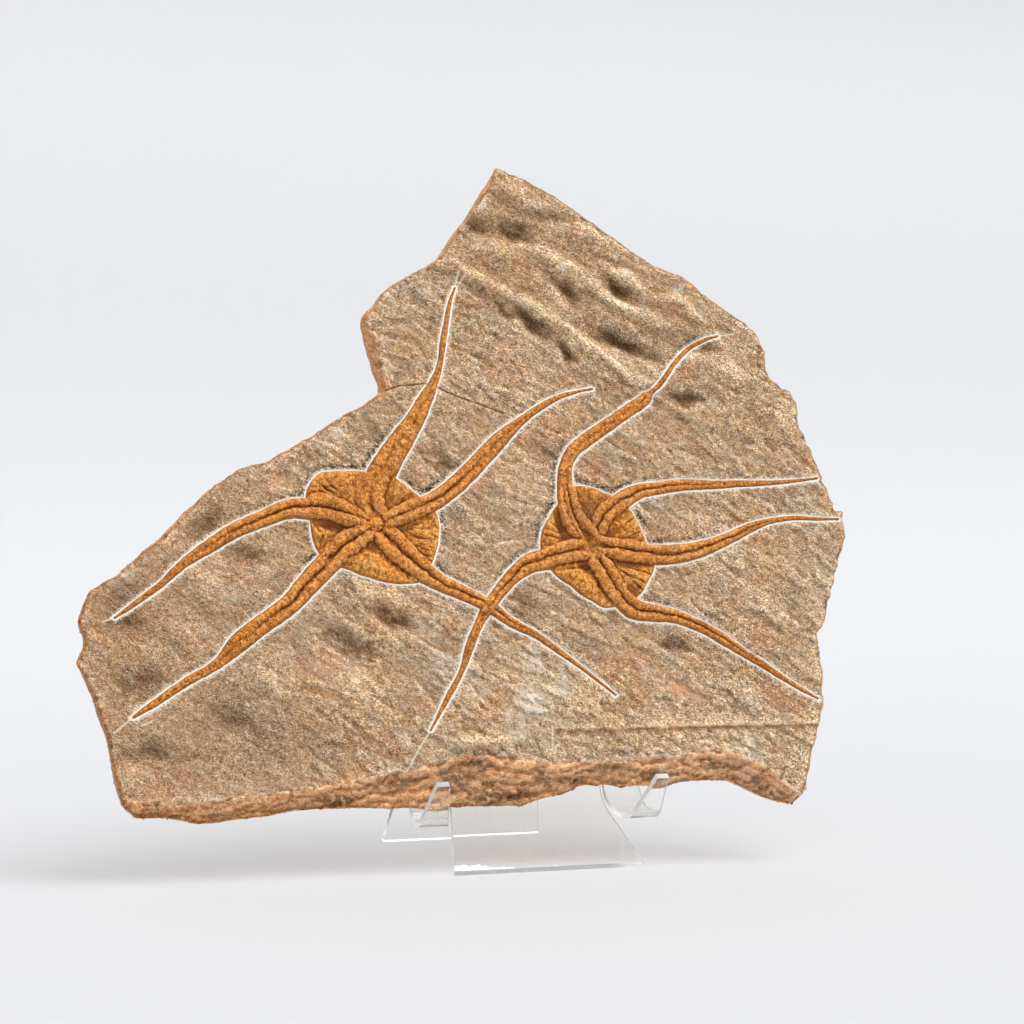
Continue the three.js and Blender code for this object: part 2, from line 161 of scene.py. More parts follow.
STAR_B = {
    "mouth": (49, 104.5),
    "disc": [
        (27.5, 105), (29, 112.5), (35, 121.5), (43, 130), (54.5, 128), (66, 120), (72, 106), (74.5, 97),
        (71.5, 91), (65.5, 83.5), (53.5, 80), (46.5, 83), (38.5, 89), (31.5, 95),
    ],
    "arms": [
        [(44, 113, 9), (40, 122.5, 8), (39.5, 131, 7), (40.5, 138.5, 6), (44, 145, 6), (49.5, 149.5, 6.3),
         (58.5, 155.5, 6), (69, 162.5, 5.8), (75.4, 166.6, 5.6), (77.4, 168.4, 5.0), (78.6, 169.6, 2.8),
         (83, 173.5, 2.6), (89.5, 182, 2.4), (97, 189.5, 2.2), (104.5, 193.5, 1.7), (110, 195, 1.2)],
        [(56, 114, 9), (62.5, 123.5, 8.3), (70.5, 128, 6.6), (79, 129.5, 5.8), (90, 131, 5.2),
         (103, 131, 4), (114, 131.5, 3.3), (127, 132, 2.5), (140.5, 133, 1.7), (148.5, 134, 1.2)],
        [(60, 103.5, 9.5), (72.5, 101.5, 9), (85.5, 102, 8.3), (95.5, 104, 7), (106.5, 108, 5.5),
         (116.5, 112.5, 4.6), (125.5, 115.5, 2.9), (136.5, 117, 2.3), (147.5, 116.5, 1.7),
         (156, 116.5, 1.2)],
        [(53.5, 96.5, 10), (58, 87, 10), (64, 79.5, 9.2), (72.5, 77.5, 7.5), (81, 76, 6.2), (92, 71.5, 5.2),
         (101.5, 66, 5), (109.5, 60.5, 3.8), (117.5, 55.5, 3.3), (125.5, 50, 2.5), (133.5, 45, 2),
         (139.5, 41.5, 1.2)],
        [(39, 101.5, 9.5), (29.5, 100, 9.2), (22, 98, 8.3), (15, 93, 6.6), (9, 86.5, 5.8), (4.5, 81, 5.4),
         (0, 74, 4), (-4.5, 64.5, 4), (-8, 55.5, 2.7), (-14, 45.5, 2.7), (-19, 37, 1.7), (-22, 32, 1.2)],
    ],
    "ridges": [
        [(37, 135, 1.8, 2.4), (36.9, 129.6, 2.0, 2.5), (37.3, 122, 2.1, 2.6), (38.6, 115.5, 2.2, 2.7),
         (42, 109.8, 1.8, 2.4)],
        [(39.3, 133, 1.2, 2.1), (39.2, 127.6, 1.3, 2.2), (40.2, 118.3, 1.4, 2.3), (43.3, 111, 1.5, 2.3),
         (45.4, 106.6, 1.3, 1.8)],
        [(41.6, 135, 1.8, 2.4), (41.7, 129.6, 2.1, 2.6), (43, 121, 2.3, 2.8), (45.8, 115.2, 2.4, 2.8),
         (49.6, 111, 2.1, 2.5), (51.6, 108.2, 1.5, 1.9)],
        [(50.2, 113.5, 1.6, 2.2), (51.8, 117.6, 2.2, 2.7), (56.2, 122.2, 2.5, 2.8), (63.5, 126.8, 2.4, 2.7),
         (70.5, 129.4, 2.0, 2.5), (79, 131, 1.8, 2.3)],
        [(53, 110.8, 1.7, 2.2), (55.4, 115.6, 2.3, 2.8), (60, 120.2, 2.4, 2.8), (66, 124, 2.2, 2.6),
         (73, 127, 1.9, 2.4), (80, 128.2, 1.8, 2.3)],
        [(51.2, 108.2, 1.6, 2.2), (55.4, 107, 2.3, 2.8), (61.8, 106.2, 2.5, 2.9), (70, 104.8, 2.4, 2.8),
         (78, 104.4, 2.3, 2.6), (84, 104.6, 2.2, 2.5)],
        [(51.6, 103.4, 1.7, 2.3), (57.8, 102, 2.5, 2.9), (65, 100.8, 2.5, 2.9), (73, 99.8, 2.4, 2.7),
         (80, 99.8, 2.2, 2.5), (86, 100, 2.1, 2.4)],
        [(48.3, 101.4, 1.6, 2.3), (48.8, 98.2, 2.3, 2.8), (51, 94.4, 2.5, 2.9), (53.8, 88.6, 2.6, 2.9),
         (58.4, 81.6, 2.5, 2.8), (63.8, 76.8, 2.2, 2.5), (70, 75.4, 2.1, 2.4)],
        [(52.6, 100.6, 1.6, 2.3), (54.6, 97.4, 2.3, 2.8), (56.8, 92.6, 2.5, 2.9), (59.6, 87.4, 2.5, 2.9),
         (63.6, 82.6, 2.3, 2.7), (69.4, 80.4, 2.0, 2.5), (76, 79.4, 1.8, 2.3)],
        [(45.2, 106.2, 1.7, 2.2), (41.6, 105.8, 2.3, 2.7), (35.8, 104.6, 2.5, 2.8), (29, 102.8, 2.4, 2.7),
         (22, 100.2, 2.2, 2.5)],
        [(47.2, 101.4, 1.7, 2.2), (43, 101.2, 2.4, 2.8), (36, 100, 2.5, 2.8), (29, 98, 2.4, 2.7),
         (22, 95.8, 2.2, 2.5)],
    ],
    "browns": [
        (47.6, 121, 5.5, 6, 0, 0.9), (47.6, 107.4, 6, 2.6, -73, 0.95), (52, 105, 3, 1.8, -20, 0.8),
        (64.6, 85.5, 3, 3, 0, 0.7), (37, 113, 8, 2.4, -67, 0.7), (58, 110.6, 3.4, 2.4, 40, 0.6),
        (65, 97, 9, 1.8, -4, 0.6),
    ],
    "groove_ends": (0.16, 0.5, 0.75, 0.8, 0.45),
    "groove_middles": (-0.1, 0, 0, 0.05, 0),
    "mounds": [
        (41, 92.5, 6, 3.4, -35, 1.3), (47.4, 86.6, 4, 3, -50, 1.2), (32, 109.5, 3.4, 5, 10, 0.9),
        (68, 91.5, 5, 3.4, -10, 0.7), (66.5, 113, 4.4, 4.4, -30, 1.1), (50.5, 126.5, 5, 1.6, -10, 0.5),
    ],
    "pockets": [
        (36.4, 112.2, 7, 2.0, -69, 1.8), (47.2, 118.4, 3.4, 2.8, 50, 1.3), (56, 110.2, 3.4, 1.9, 30, 1.5),
        (63, 97.6, 9, 1.5, -2, 1.4), (45.0, 96.4, 3, 2.0, -50, 1.5), (49.4, 90.6, 7, 1.1, -58, 0.8),
        (39, 96, 6, 0.8, 6, 0.8), (64.4, 86.2, 3, 2.4, 20, 1.1), (66, 91.5, 6, 0.5, -30, 0.8),
        (62.6, 93.2, 5, 0.5, -38, 0.8), (68.5, 94.4, 4.5, 0.45, -18, 0.8), (66.6, 88.4, 4, 0.45, -42, 0.7),
        (33, 108.8, 4.5, 0.5, -12, 0.9), (31.6, 111.4, 4, 0.5, -20, 0.8), (33.6, 113.6, 3, 0.4, -30, 0.7),
        (66, 116, 4, 0.5, 40, 0.7), (68, 110.4, 4, 0.45, 20, 0.7), (42, 89.5, 4, 0.45, 30, 0.5),
    ],
    "streaks": [
        (0, 0.25), (20, 0.25), (88, 0.15), (155, 0.22), (200, 0.2), (245, 0.12), (290, 0.2), (320, 0.42),
        (360, 0.25),
    ],
    "powder": [(65.6, 93.7, 2.4, 1), (62.6, 90.9, 2, 0.8), (61.5, 82, 2, 0.6)],
}
STARS = {"star_a": STAR_A, "star_b": STAR_B}
OVERLYING = ("star_b", 4)
UNDERLYING = ("star_a", 4)

# Where the maker's needle ran on past an arm's tip: x, w.
NEEDLE_LINES = [
    [(-142.5, 78), (-147, 76.5)],
    [(-136.5, 39.5), (-144, 33.5)],
    [(-1, 214), (1, 221)],
    [(-0.5, 214), (4, 220)],
    [(110, 195), (118, 196.5)],
    [(-22, 32), (-27, 25), (-32.5, 16)],
]
SCRATCHES = [[(-133.5, 36), (-129, 38)], [(27, 32.5), (26.5, 22.5)]]
CRACKS = [[(-34.5, 169), (-26.5, 172), (-14, 173), (-4, 168), (6, 164.5), (16, 161)]]

# The crest where the lumpy upper layer ends: x, w.
CREST = [
    (-45, 232), (-12, 226), (-0.5, 224), (11.5, 216.5), (28, 209), (42, 200.5), (58, 188), (72, 175.5),
    (84, 168), (100, 160), (135, 150),
]
# Hollows and swells of the face: x, w, half length, half breadth, angle in degrees, height.
SWELLS = [
    (26, 238.5, 9, 5.0, -15, -2.0), (10, 240.5, 6, 4, 10, -1.3), (42, 245.5, 9, 2.8, -5, -0.9),
    (47, 213, 7.5, 3.6, -38, -1.8), (69, 213, 6.5, 3.4, -36, -1.7), (70, 191, 13, 4.4, -27, -2.3),
    (99.5, 190, 8, 3.8, -6, -1.6), (94.5, 167.6, 8.5, 3.0, 3, -1.5), (31, 199, 9.5, 3.4, -42, -2.0),
    (44.5, 187.5, 4.5, 2.4, -55, -1.5), (20, 204, 7, 3, -35, -0.8), (43, 226.5, 13, 3.8, -27, 1.3),
    (66, 210.5, 14, 3.6, -38, 1.3), (84, 201, 9, 3.6, -25, 1.2), (71, 220.8, 10, 3.4, -30, 1.2),
    (96.5, 208.3, 10, 3.8, -28, 1.2), (30, 253, 13, 4, -25, 0.9), (62, 236, 13, 4, -32, 0.8),
    (16, 230, 9, 4, -25, 1.0), (114, 179, 11, 5, -20, 1.2), (136, 159, 7, 6, -60, 0.8),
    (84, 179, 9, 4, -30, 0.9), (-10, 141, 8, 4, -20, -0.8), (-107, 114, 8, 4, 30, -1.1),
    (-92, 102, 9, 3.6, -10, -0.9), (-135, 77, 7, 5, -10, -1.2), (-130, 53, 8, 6, 30, -1.1),
    (-98, 37, 12, 5, -25, -1.0), (-52, 66, 11, 5, -35, -1.4), (-34, 76, 8, 4, -20, -1.2),
    (-129, 24, 10, 5, 0, -0.8), (80, 65, 6, 3, -20, -0.9), (19, 80, 8, 4, -30, -0.8),
    (38, 144, 8, 4, -20, -0.7), (-75, 125, 9, 5, -20, 0.7), (-52, 50, 14, 8, -25, 1.0),
    (-82, 52, 10, 5, -30, 0.8), (-106, 90, 8, 5, -20, 0.7), (-137, 16, 7, 5, 0, 0.5),
    (-3, 27, 14, 3.4, 2, 0.9), (-40, 86, 14, 3.4, -25, 0.7), (118, 82, 14, 8, -30, 0.5),
    (16, 133, 12, 6, -30, 0.5), (-115, 70, 9, 5, -25, 0.8),
]
# Darker and lighter patches of the stone: x, w, half length, half breadth, angle in degrees, share.
# Most lie on the hollows and swells in SWELLS: painted shade on the hollows and painted light on the
# swells. The rest are the stone's own tone.
TONE_AND_SHADE_PATCHES = [
    (26, 240.5, 7, 4.5, -15, -1.1), (9, 242, 8, 4.5, 10, -0.9), (42, 247, 9, 3, -5, -0.5),
    (47, 215, 8, 4, -38, -0.9), (69, 215, 8, 4, -36, -0.9), (68, 194, 14, 5, -27, -1.1),
    (99.5, 192, 9, 4, -6, -0.8), (94.5, 169.5, 9, 3.2, 3, -0.8), (31, 201, 9.5, 4, -42, -1.0),
    (44.5, 189, 5, 3, -55, -0.7), (4, 198, 14, 8, -30, -0.4), (-10, 202, 8, 5, -30, -0.35),
    (50, 178, 12, 5, -35, -0.4), (-85, 26, 34, 12, 0, -0.55), (95, 64, 15, 8, 0, -0.4),
    (70, 163, 15, 7, 35, -0.45), (-30, 155, 16, 6, 30, -0.3), (22, 46, 22, 11, -15, 0.35),
    (-10, 141, 9, 6, -20, -0.6), (-107, 116, 10, 5, 30, -0.6), (-92, 104, 8, 3.6, -10, -0.6),
    (-140, 76, 9, 7, -10, -1.0), (-136, 54, 10, 9, 30, -1.0), (-98, 40, 16, 8, -25, -0.7),
    (-52, 68, 12, 6, -35, -0.75), (-34, 78, 9, 5, -20, -0.7), (-132, 27, 14, 6, 0, -0.8),
    (80, 66.4, 6, 4, -20, -0.8), (19, 81.4, 8, 5, -30, -0.5), (38, 145, 9, 5, -20, -0.3),
    (-118, 98, 10, 5, 30, -0.5), (-66, 142, 12, 4, 30, -0.3), (-139, 88, 8, 5, 30, -0.9),
    (5, 221, 13, 2.8, -35, 0.9), (30, 207, 13, 2.8, -30, 0.8), (48, 194, 11, 3.0, -40, 0.9),
    (64, 182, 11, 3.2, -38, 0.8), (45, 225, 13, 3.4, -27, 0.7), (68, 209, 15, 3.2, -38, 0.8),
    (72, 220, 10, 3.4, -30, 0.9), (97, 208, 10, 4, -28, 0.8), (45, 249, 30, 3, -32, 0.5),
    (114, 178, 12, 7, -30, 0.5), (136, 159, 8, 6, -60, 0.7), (-33.6, 193, 4, 9, 15, 0.5),
    (-71, 126, 8, 4, -20, 0.5), (-52, 151, 5, 3, 0, 0.8), (-106, 92, 8, 6, -20, 0.45),
    (-51, 48, 14, 8, -25, 0.7), (-137, 18, 8, 5, 0, 0.4), (-82, 53, 9, 5, -30, 0.4),
    (26.7, 47, 10, 4, -20, 0.8), (39, 45, 7, 4, -20, 0.7), (-1, 28, 15, 3.0, 2, 0.8),
    (11, 53, 10, 4, -30, 0.6), (134, 30, 8, 5, 0, 0.6), (82, 31, 34, 8, 0, 0.6), (16, 135, 14, 7, -30, 0.4),
    (81, 154, 14, 7, -30, 0.3), (118, 82, 16, 9, -30, 0.35), (-38, 86, 16, 3.6, -25, 0.6),
    (60, 62, 14, 6, -30, 0.35),
]
# Pale crusts of calcite: x, w, radius, strength.
CALCITE = [
    (19, 42.5, 13, 1.0), (-16, 57.5, 9, 0.6), (-2.5, 48, 8, 0.6), (21.5, 59, 9, 0.7), (-54, 151, 6, 0.7),
    (-40, 186.5, 6, 0.9), (106, 23, 16, 0.5), (-98, 85, 6, 0.5), (-32, 30, 3, 0.8), (12, 33, 12, 0.5),
    (-140, 96, 8, 0.8), (32, 48, 8, 0.7), (-22, 72, 9, 0.4), (94.5, 215, 4.5, 1.1), (103, 206, 5, 0.9),
    (73, 221.5, 5, 0.6), (13, 251, 5, 0.7), (46, 224, 4, 0.6), (104, 166, 5, 0.7),
]
# Dark stains on the broken lower edge: x, w, half length, half breadth, angle.
STAINS = [
    (-14, 13, 7, 5, 10), (1, 7, 8, 5, 0), (13, 6, 6, 4, 0), (22, 13, 4, 3, 0), (-4, 19, 8, 3, -10),
    (-60, 6, 10, 2.5, 5), (70, 13, 9, 2, 0), (-36, 12, 8, 2.5, 15), (50, 16, 8, 2, 0), (95, 16, 8, 2, -10),
    (112, 8, 6, 2.5, -30), (34, 11.5, 8, 1.8, 4),
]
# Peach spots and the thin peach line of the ledge: x, w, half length, half breadth, angle.
PEACH_SPOTS = [
    (82, 46, 9, 3.2, -22), (84, 30.9, 46, 0.8, 0), (-66, 92, 6, 3, -30), (-60, 100, 5, 2, -20),
]


# ---- noise and lines

# Large odd numbers that scatter a cell's places and stir the result.
SCATTER = (374761393, 668265263, 1440662683, 974634777)
STIR = ((13, 1274126177), (16, 2246822519))


def hashed(ix, iy, iz, seed):
    """A whole number from 0 to 2**32 for each cell of a grid, the same each run."""
    mask = np.uint64(0xFFFFFFFF)
    n = sum(part * by for part, by in zip((ix, iy, iz, seed), SCATTER)).astype(np.uint64) & mask
    for shift, by in STIR:
        n = ((n ^ (n >> np.uint64(shift))) * np.uint64(by)) & mask
    return n ^ (n >> np.uint64(15))


def noise(x, y, z=0.0, seed=0):
    """Smooth noise of about -1 to 1 with cells one unit wide."""
    x, y, z = np.broadcast_arrays(np.asarray(x, float), np.asarray(y, float), np.asarray(z, float))
    cells = [np.floor(v).astype(np.int64) for v in (x, y, z)]
    local = [v - c for v, c in zip((x, y, z), cells)]
    eased = [f * f * f * (f * (f * 6 - 15) + 10) for f in local]
    total = np.zeros(x.shape)
    for corner in range(8):
        step = [(corner >> k) & 1 for k in range(3)]
        code = hashed(cells[0] + step[0], cells[1] + step[1], cells[2] + step[2], seed)
        weight = np.ones(x.shape)
        slope = np.zeros(x.shape)
        for k in range(3):
            weight = weight * (eased[k] if step[k] else 1 - eased[k])
            lean = ((code >> np.uint64(10 * k)) & np.uint64(1023)).astype(float) / 511.5 - 1
            slope += lean * (local[k] - step[k])
        total += weight * slope
    return total * 1.6


def layered_noise(x, y, z=0.0, seed=0, layers=4, falloff=0.5):
    """Noise with finer and weaker noise on top."""
    total, strength, finer = 0.0, 1.0, 1.0
    for layer in range(layers):
        total = total + strength * noise(np.asarray(x) * finer, np.asarray(y) * finer,
                                         np.asarray(z) * finer, seed + 17 * layer)
        strength *= falloff
        finer *= 2.03
    return total


def ease(low, high, value):
    """0 below low, 1 above high and smooth between."""
    t = np.clip((value - low) / (high - low), 0, 1)
    return t * t * (3 - 2 * t)


def smooth_line(points, step, closed=False):
    """Evenly spaced places on a smooth line through some points, and how far along it each one is."""
    p = np.asarray(points, float)
    if closed:
        p = np.vstack([p[-1], p, p[0], p[1]])
    else:
        p = np.vstack([2 * p[0] - p[1], p, 2 * p[-1] - p[-2]])
    t = np.linspace(0, 1, 24, endpoint=False)[:, None]
    stretches = []
    for a, b, c, d in zip(p[:-3], p[1:-2], p[2:-1], p[3:]):
        before, here, after = (max(np.hypot(*(n - m)[:2]), 1e-6) ** 0.5
                               for m, n in ((a, b), (b, c), (c, d)))
        start = ((b - a) / before - (c - a) / (before + here) + (c - b) / here) * here
        end = ((c - b) / here - (d - b) / (here + after) + (d - c) / after) * here
        stretches.append((2 * t**3 - 3 * t**2 + 1) * b + (t**3 - 2 * t**2 + t) * start
                         + (3 * t**2 - 2 * t**3) * c + (t**3 - t**2) * end)
    dense = np.vstack([*stretches, p[-2][None]])
    run = np.concatenate([[0], np.cumsum(np.hypot(*np.diff(dense[:, :2], axis=0).T))])
    at = np.linspace(0, run[-1], max(2, round(run[-1] / step) + 1))
    line = np.column_stack([np.interp(at, run, dense[:, k]) for k in range(dense.shape[1])])
    return (line[:-1], at[:-1]) if closed else (line, at)


def straight_line(points, step):
    """Evenly spaced places along straight stretches."""
    p = np.asarray(points, float)
    run = np.concatenate([[0], np.cumsum(np.hypot(*np.diff(p[:, :2], axis=0).T))])
    at = np.linspace(0, run[-1], max(2, round(run[-1] / step) + 1))
    return np.column_stack([np.interp(at, run, p[:, k]) for k in range(p.shape[1])])


def sideways(line, closed=False):
    """The unit direction along a line at each place, and the one to its left."""
    if closed:
        along = np.roll(line, -1, axis=0)[:, :2] - np.roll(line, 1, axis=0)[:, :2]
    else:
        along = np.gradient(line[:, :2], axis=0)
    along = along / np.maximum(np.hypot(*along.T), 1e-9)[:, None]
    return along, np.column_stack([-along[:, 1], along[:, 0]])


def nearest(line, x, y, margin=FAR):
    """The index of the nearest place on a line to each point near it, and which points those are."""
    near = np.flatnonzero((x > line[:, 0].min() - margin) & (x < line[:, 0].max() + margin)
                          & (y > line[:, 1].min() - margin) & (y < line[:, 1].max() + margin))
    index = np.zeros(near.size, np.int64)
    for start in range(0, near.size, 4096):
        part = near[start:start + 4096]
        away = (x[part, None] - line[None, :, 0]) ** 2 + (y[part, None] - line[None, :, 1]) ** 2
        index[start:start + 4096] = away.argmin(axis=1)
    return near, index


def distance_to_lines(lines, x, y):
    """How far each point is from the nearest of some lines, up to FAR."""
    away = np.full(x.shape, FAR)
    for points in lines:
        line = straight_line(points, 0.3)
        near, index = nearest(line, x, y, 6)
        away[near] = np.minimum(away[near], np.hypot(x[near] - line[index, 0], y[near] - line[index, 1]))
    return away


# ---- the slab's place

def slab_axes():
    """The slab's own axes, measured on its CAD node: where x = w = d = 0 is, and the directions w and d."""
    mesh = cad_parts["slab"].data
    front = max((p for p in mesh.polygons if p.normal.y < -0.9), key=lambda p: p.area)
    inward = -front.normal.normalized()
    upward = Vector((0, -inward.z, inward.y))
    co = np.zeros(len(mesh.vertices) * 3)
    mesh.vertices.foreach_get("co", co)
    co = co.reshape(-1, 3)
    face = np.dot(co, inward).min()
    top = np.dot(co, upward).max() - max(w for _, w in OUTLINE) * MM
    return inward * face + upward * top, upward, inward


SLAB_AT, SLAB_UP, SLAB_IN = slab_axes()
LEAN = math.atan2(SLAB_UP.y, SLAB_UP.z)


def place(x, w, d):
    """Points given in the slab's axes, in metres in the frame."""
    x, w, d = np.broadcast_arrays(x, w, d)
    here = np.array(SLAB_AT) + np.outer(w, SLAB_UP) * MM + np.outer(d, SLAB_IN) * MM
    here[:, 0] += x * MM
    return here


# ---- the stars' outlines

class Arm:
    """An arm's middle line, and how far its two edges are from it."""

    def __init__(self, points, seed):
        self.line, self.run = smooth_line(points, LINE_STEP)
        self.along, self.left = sideways(self.line)
        half = np.maximum(self.line[:, 2] / 2 - 0.3, 0.4)
        wobble = [noise(self.run / 3.1, side * 7.3, seed=seed)
                  + noise(self.run / 1.3, side * 3.7, seed=seed + 1) * 0.5 for side in (1, 2)]
        self.half_left, self.half_right = (half + 0.17 * w * np.minimum(1, half / 1.5) for w in wobble)
        self.length = self.run[-1]

    def field(self, x, y):
        """For each point: how far along and across, half the width there, and how far outside the edge."""
        along, across = np.zeros(x.shape), np.full(x.shape, FAR)
        half, gap = np.ones(x.shape), np.full(x.shape, FAR)
        near, index = nearest(self.line, x, y, 9)
        off = np.column_stack([x[near], y[near]]) - self.line[index, :2]
        ahead = np.einsum("ij,ij->i", off, self.along[index])
        side = np.einsum("ij,ij->i", off, self.left[index])
        past = np.where(index == 0, np.minimum(ahead, 0), 0)
        past = past + np.where(index == len(self.line) - 1, np.maximum(ahead, 0), 0)
        half[near] = np.where(side > 0, self.half_left[index], self.half_right[index])
        along[near] = self.run[index] + ahead
        gap[near] = np.hypot(side, past) - half[near]
        across[near] = np.where(past < 0, np.hypot(side, past), side)
        return along, across, half, gap

    def offset(self, out):
        """Points at a distance outside the edges and round the tip."""
        sides = [self.line[:, :2] + self.left * (self.half_left + out)[:, None],
                 self.line[:, :2] - self.left * (self.half_right + out)[:, None]]
        radius = self.half_left[-1] + out
        turn = np.linspace(-math.pi / 2, math.pi / 2, 7)[1:-1, None]
        if radius > 0.1:
            round_tip = np.cos(turn) * self.along[-1] + np.sin(turn) * self.left[-1]
            sides.append(self.line[-1, :2] + radius * round_tip)
        return np.vstack(sides)


class Star:
    """A brittle star's arms and disc."""

    def __init__(self, name, seed):
        plan = STARS[name]
        root = (*plan["mouth"], ARM_ROOT_WIDTH)
        self.name, self.seed, self.plan = name, seed, plan
        self.mouth = np.array(plan["mouth"])
        self.arms = [Arm([root, *points], seed + 10 * k) for k, points in enumerate(plan["arms"])]
        ring, run = smooth_line(plan["disc"], LINE_STEP, closed=True)
        _, left = sideways(ring, closed=True)
        centre = ring.mean(axis=0)
        self.outward = left * np.sign(((ring - centre) * left).sum())
        self.ring = ring + self.outward * (0.3 * noise(run / 5, seed, seed=seed))[:, None]

    def disc_gap(self, x, y):
        """How far outside the disc each point is, less than nothing inside it."""
        gap = np.full(x.shape, FAR)
        near, index = nearest(self.ring, x, y, 9)
        off = np.column_stack([x[near], y[near]]) - self.ring[index]
        inside = np.einsum("ij,ij->i", off, self.outward[index]) < 0
        gap[near] = np.hypot(*off.T) * np.where(inside, -1, 1)
        return gap

    def field(self, x, y):
        """The nearest arm's own measures at each point, and how far outside the arms and the disc it is."""
        arms = np.array([arm.field(x, y) for arm in self.arms])
        gaps = arms[:, 3]
        own = gaps.argmin(axis=0)
        pick = np.arange(x.size)
        arm_gap, disc_gap = gaps.min(axis=0), self.disc_gap(x, y)
        along, across, half = (arms[own, k, pick] for k in range(3))
        return SimpleNamespace(own=own, along=along, across=across, half=half, arm_gap=arm_gap,
                               disc_gap=disc_gap, gap=np.minimum(arm_gap, disc_gap))

    def gap(self, x, y):
        """How far outside the whole star each point is."""
        return self.field(x, y).gap

    def offset(self, out):
        """Points at a distance outside the whole star's edge."""
        points = np.vstack([arm.offset(out) for arm in self.arms] + [self.ring + self.outward * out])
        return points[np.abs(self.gap(*points.T) - out) < 0.07]

    def rough(self, x, y, extra):
        """Noise of this star's own."""
        return noise(x, y, seed=self.seed + extra)


STAR_FORMS = {"star_a": Star("star_a", 100), "star_b": Star("star_b", 300)}


def stars_gap(x, y):
    """How far outside both stars each point is, and which way up the nearest edge faces, from -1 to 1."""
    def gap(px, py):
        return np.minimum(*(star.gap(px, py) for star in STAR_FORMS.values()))
    here = gap(x, y)
    rise = (gap(x, y + 0.4) - gap(x, y - 0.4)) / 0.8
    return here, np.clip(rise, -1, 1)


# ---- the stone's surface

GRAIN_DEGREES = -33
GRAIN_ANGLE = math.radians(GRAIN_DEGREES)


def grain_axes(x, y):
    """Places along and across the stone's grain, which runs down to the right."""
    c, s = math.cos(GRAIN_ANGLE), math.sin(GRAIN_ANGLE)
    return x * c + y * s, -x * s + y * c


def bed(x, w):
    """The slow rise and fall of the stone's face, in millimetres out of it. The fossils lie on it."""
    a, b = grain_axes(x, w)
    height = 0.55 * layered_noise(a / 60, b / 34, seed=5, layers=2)
    x_bent, w_bent = x + 2.2 * noise(x / 9, w / 9, seed=6), w + 2.2 * noise(x / 9, w / 9, seed=7)
    for cx, cw, length, breadth, angle, rise in SWELLS:
        height = height + 1.7 * rise * patch(x_bent, w_bent, cx, cw, length, breadth, angle)
    above = above_crest(x, w)
    return height + 0.9 * ease(-7, 0, above) + 0.7 * np.exp(-(above / 2.6) ** 2) * ease(110, 70, x)


def patch(x, w, cx, cw, length, breadth, angle):
    """A soft oval patch: 1 in its middle, falling away by its half length and half breadth."""
    c, s = math.cos(math.radians(angle)), math.sin(math.radians(angle))
    u = ((x - cx) * c + (w - cw) * s) / length
    v = (-(x - cx) * s + (w - cw) * c) / breadth
    return np.exp(-(u * u + v * v))


def above_crest(x, w):
    """How far up the face from the crest each point is."""
    line = np.array(CREST)
    return w - np.interp(x, line[:, 0], line[:, 1]) - 1.5 * noise(x / 11, 2.5, seed=8)


def bevel_share(x, w, low):
    """0 on the face, rising from the top of the broken lower edge to 1 at its rim."""
    line = np.array(BEVEL_TOP)
    top = np.interp(x, line[:, 0], line[:, 1])
    top = top + 1.1 * noise(x / 6, 0.5, seed=31) + 0.5 * noise(x / 2, 9.5, seed=32)
    return np.clip((top - w) / np.maximum(top - low, 2), 0, 1.1)


def lower_rim(x):
    """The outline's lower edge at each x."""
    ring = np.array(OUTLINE)
    under = ring[(ring[:, 1] < 25) & (ring[:, 0] > -148)]
    under = under[np.argsort(under[:, 0])]
    return np.interp(x, under[:, 0], under[:, 1])


def face_height(x, w, gap, rim_gap, settings):
    """The stone's face, in millimetres out of it, from how far each point is from the stars and the rim."""
    a, b = grain_axes(x, w)
    ripples = ((0.28, 8, 2.8, 41), (0.15, 3.6, 1.7, 42), (0.11, 2.2, 1.3, 43))
    rough = sum(high * noise(a / length, b / breadth, seed=seed) for high, length, breadth, seed in ripples)
    flakes = ease(-0.05, 0.05, layered_noise(a / 22, b / 9, seed=44, layers=4)) - 0.5
    lumpy = ease(-2, 8, above_crest(x, w))
    calm = 0.5 * ease(-55, -100, x)
    rough = rough * (1 - 0.2 * lumpy - calm) + 0.42 * flakes * (1 - 0.7 * lumpy) * (1 - calm)
    rough = rough + lumpy * 0.9 * layered_noise(a / 26, b / 13, seed=45, layers=4, falloff=0.45)
    height = bed(x, w) + settings.roughness * rough * ease(-0.3, 2.2, gap)
    height = height - settings.trench_depth / MM * np.exp(-(np.maximum(gap, 0) / 0.75) ** 2)
    shelf = ease(22, 34, x) * ease(0.4, -0.4, w - 31 - 0.5 * noise(x / 8, 3.5, seed=46))
    height = height - 0.9 * shelf
    for line, depth, reach in ((CRACKS, 0.35, 0.35), (SCRATCHES, 0.15, 0.3)):
        height = height - depth * np.exp(-(distance_to_lines(line, x, w) / reach) ** 2)
    share = bevel_share(x, w, lower_rim(x))
    broken = ease(0, 0.12, share)
    height = height - settings.bevel_depth / MM * share ** 1.15 + broken * edge_steps(x, w, share)
    rim = np.clip(1 - rim_gap / 1.6, 0, 1)
    chips = ease(0.15, 0.5, noise(x / 4.5, w / 4.5, seed=49)) * np.clip(1 - rim_gap / 4, 0, 1)
    return height - (0.7 * rim ** 2 + 1.1 * chips ** 2) * (1 - broken)


def edge_steps(x, w, share):
    """The crevices, steps and ledges of the broken lower edge, in millimetres out of it."""
    p, q = x * 0.97 + w * 0.24, w * 0.97 - x * 0.24
    steps = 1.6 * (0.35 - np.abs(noise(p / 13, q / 4.2, seed=47)))
    steps = steps + 1.2 * (0.35 - np.abs(noise(p / 4.2, q / 2, seed=50)))
    steps = steps + 1.2 * noise(p / 9, q / 5, seed=51) + 0.6 * noise(p / 2.2, q / 1.5, seed=52)
    return steps + 0.6 * (ease(0.3, 0.5, (share * 4 + 0.9 * noise(x / 11, 1.5, seed=48)) % 1) - 0.5)


# ---- meshes

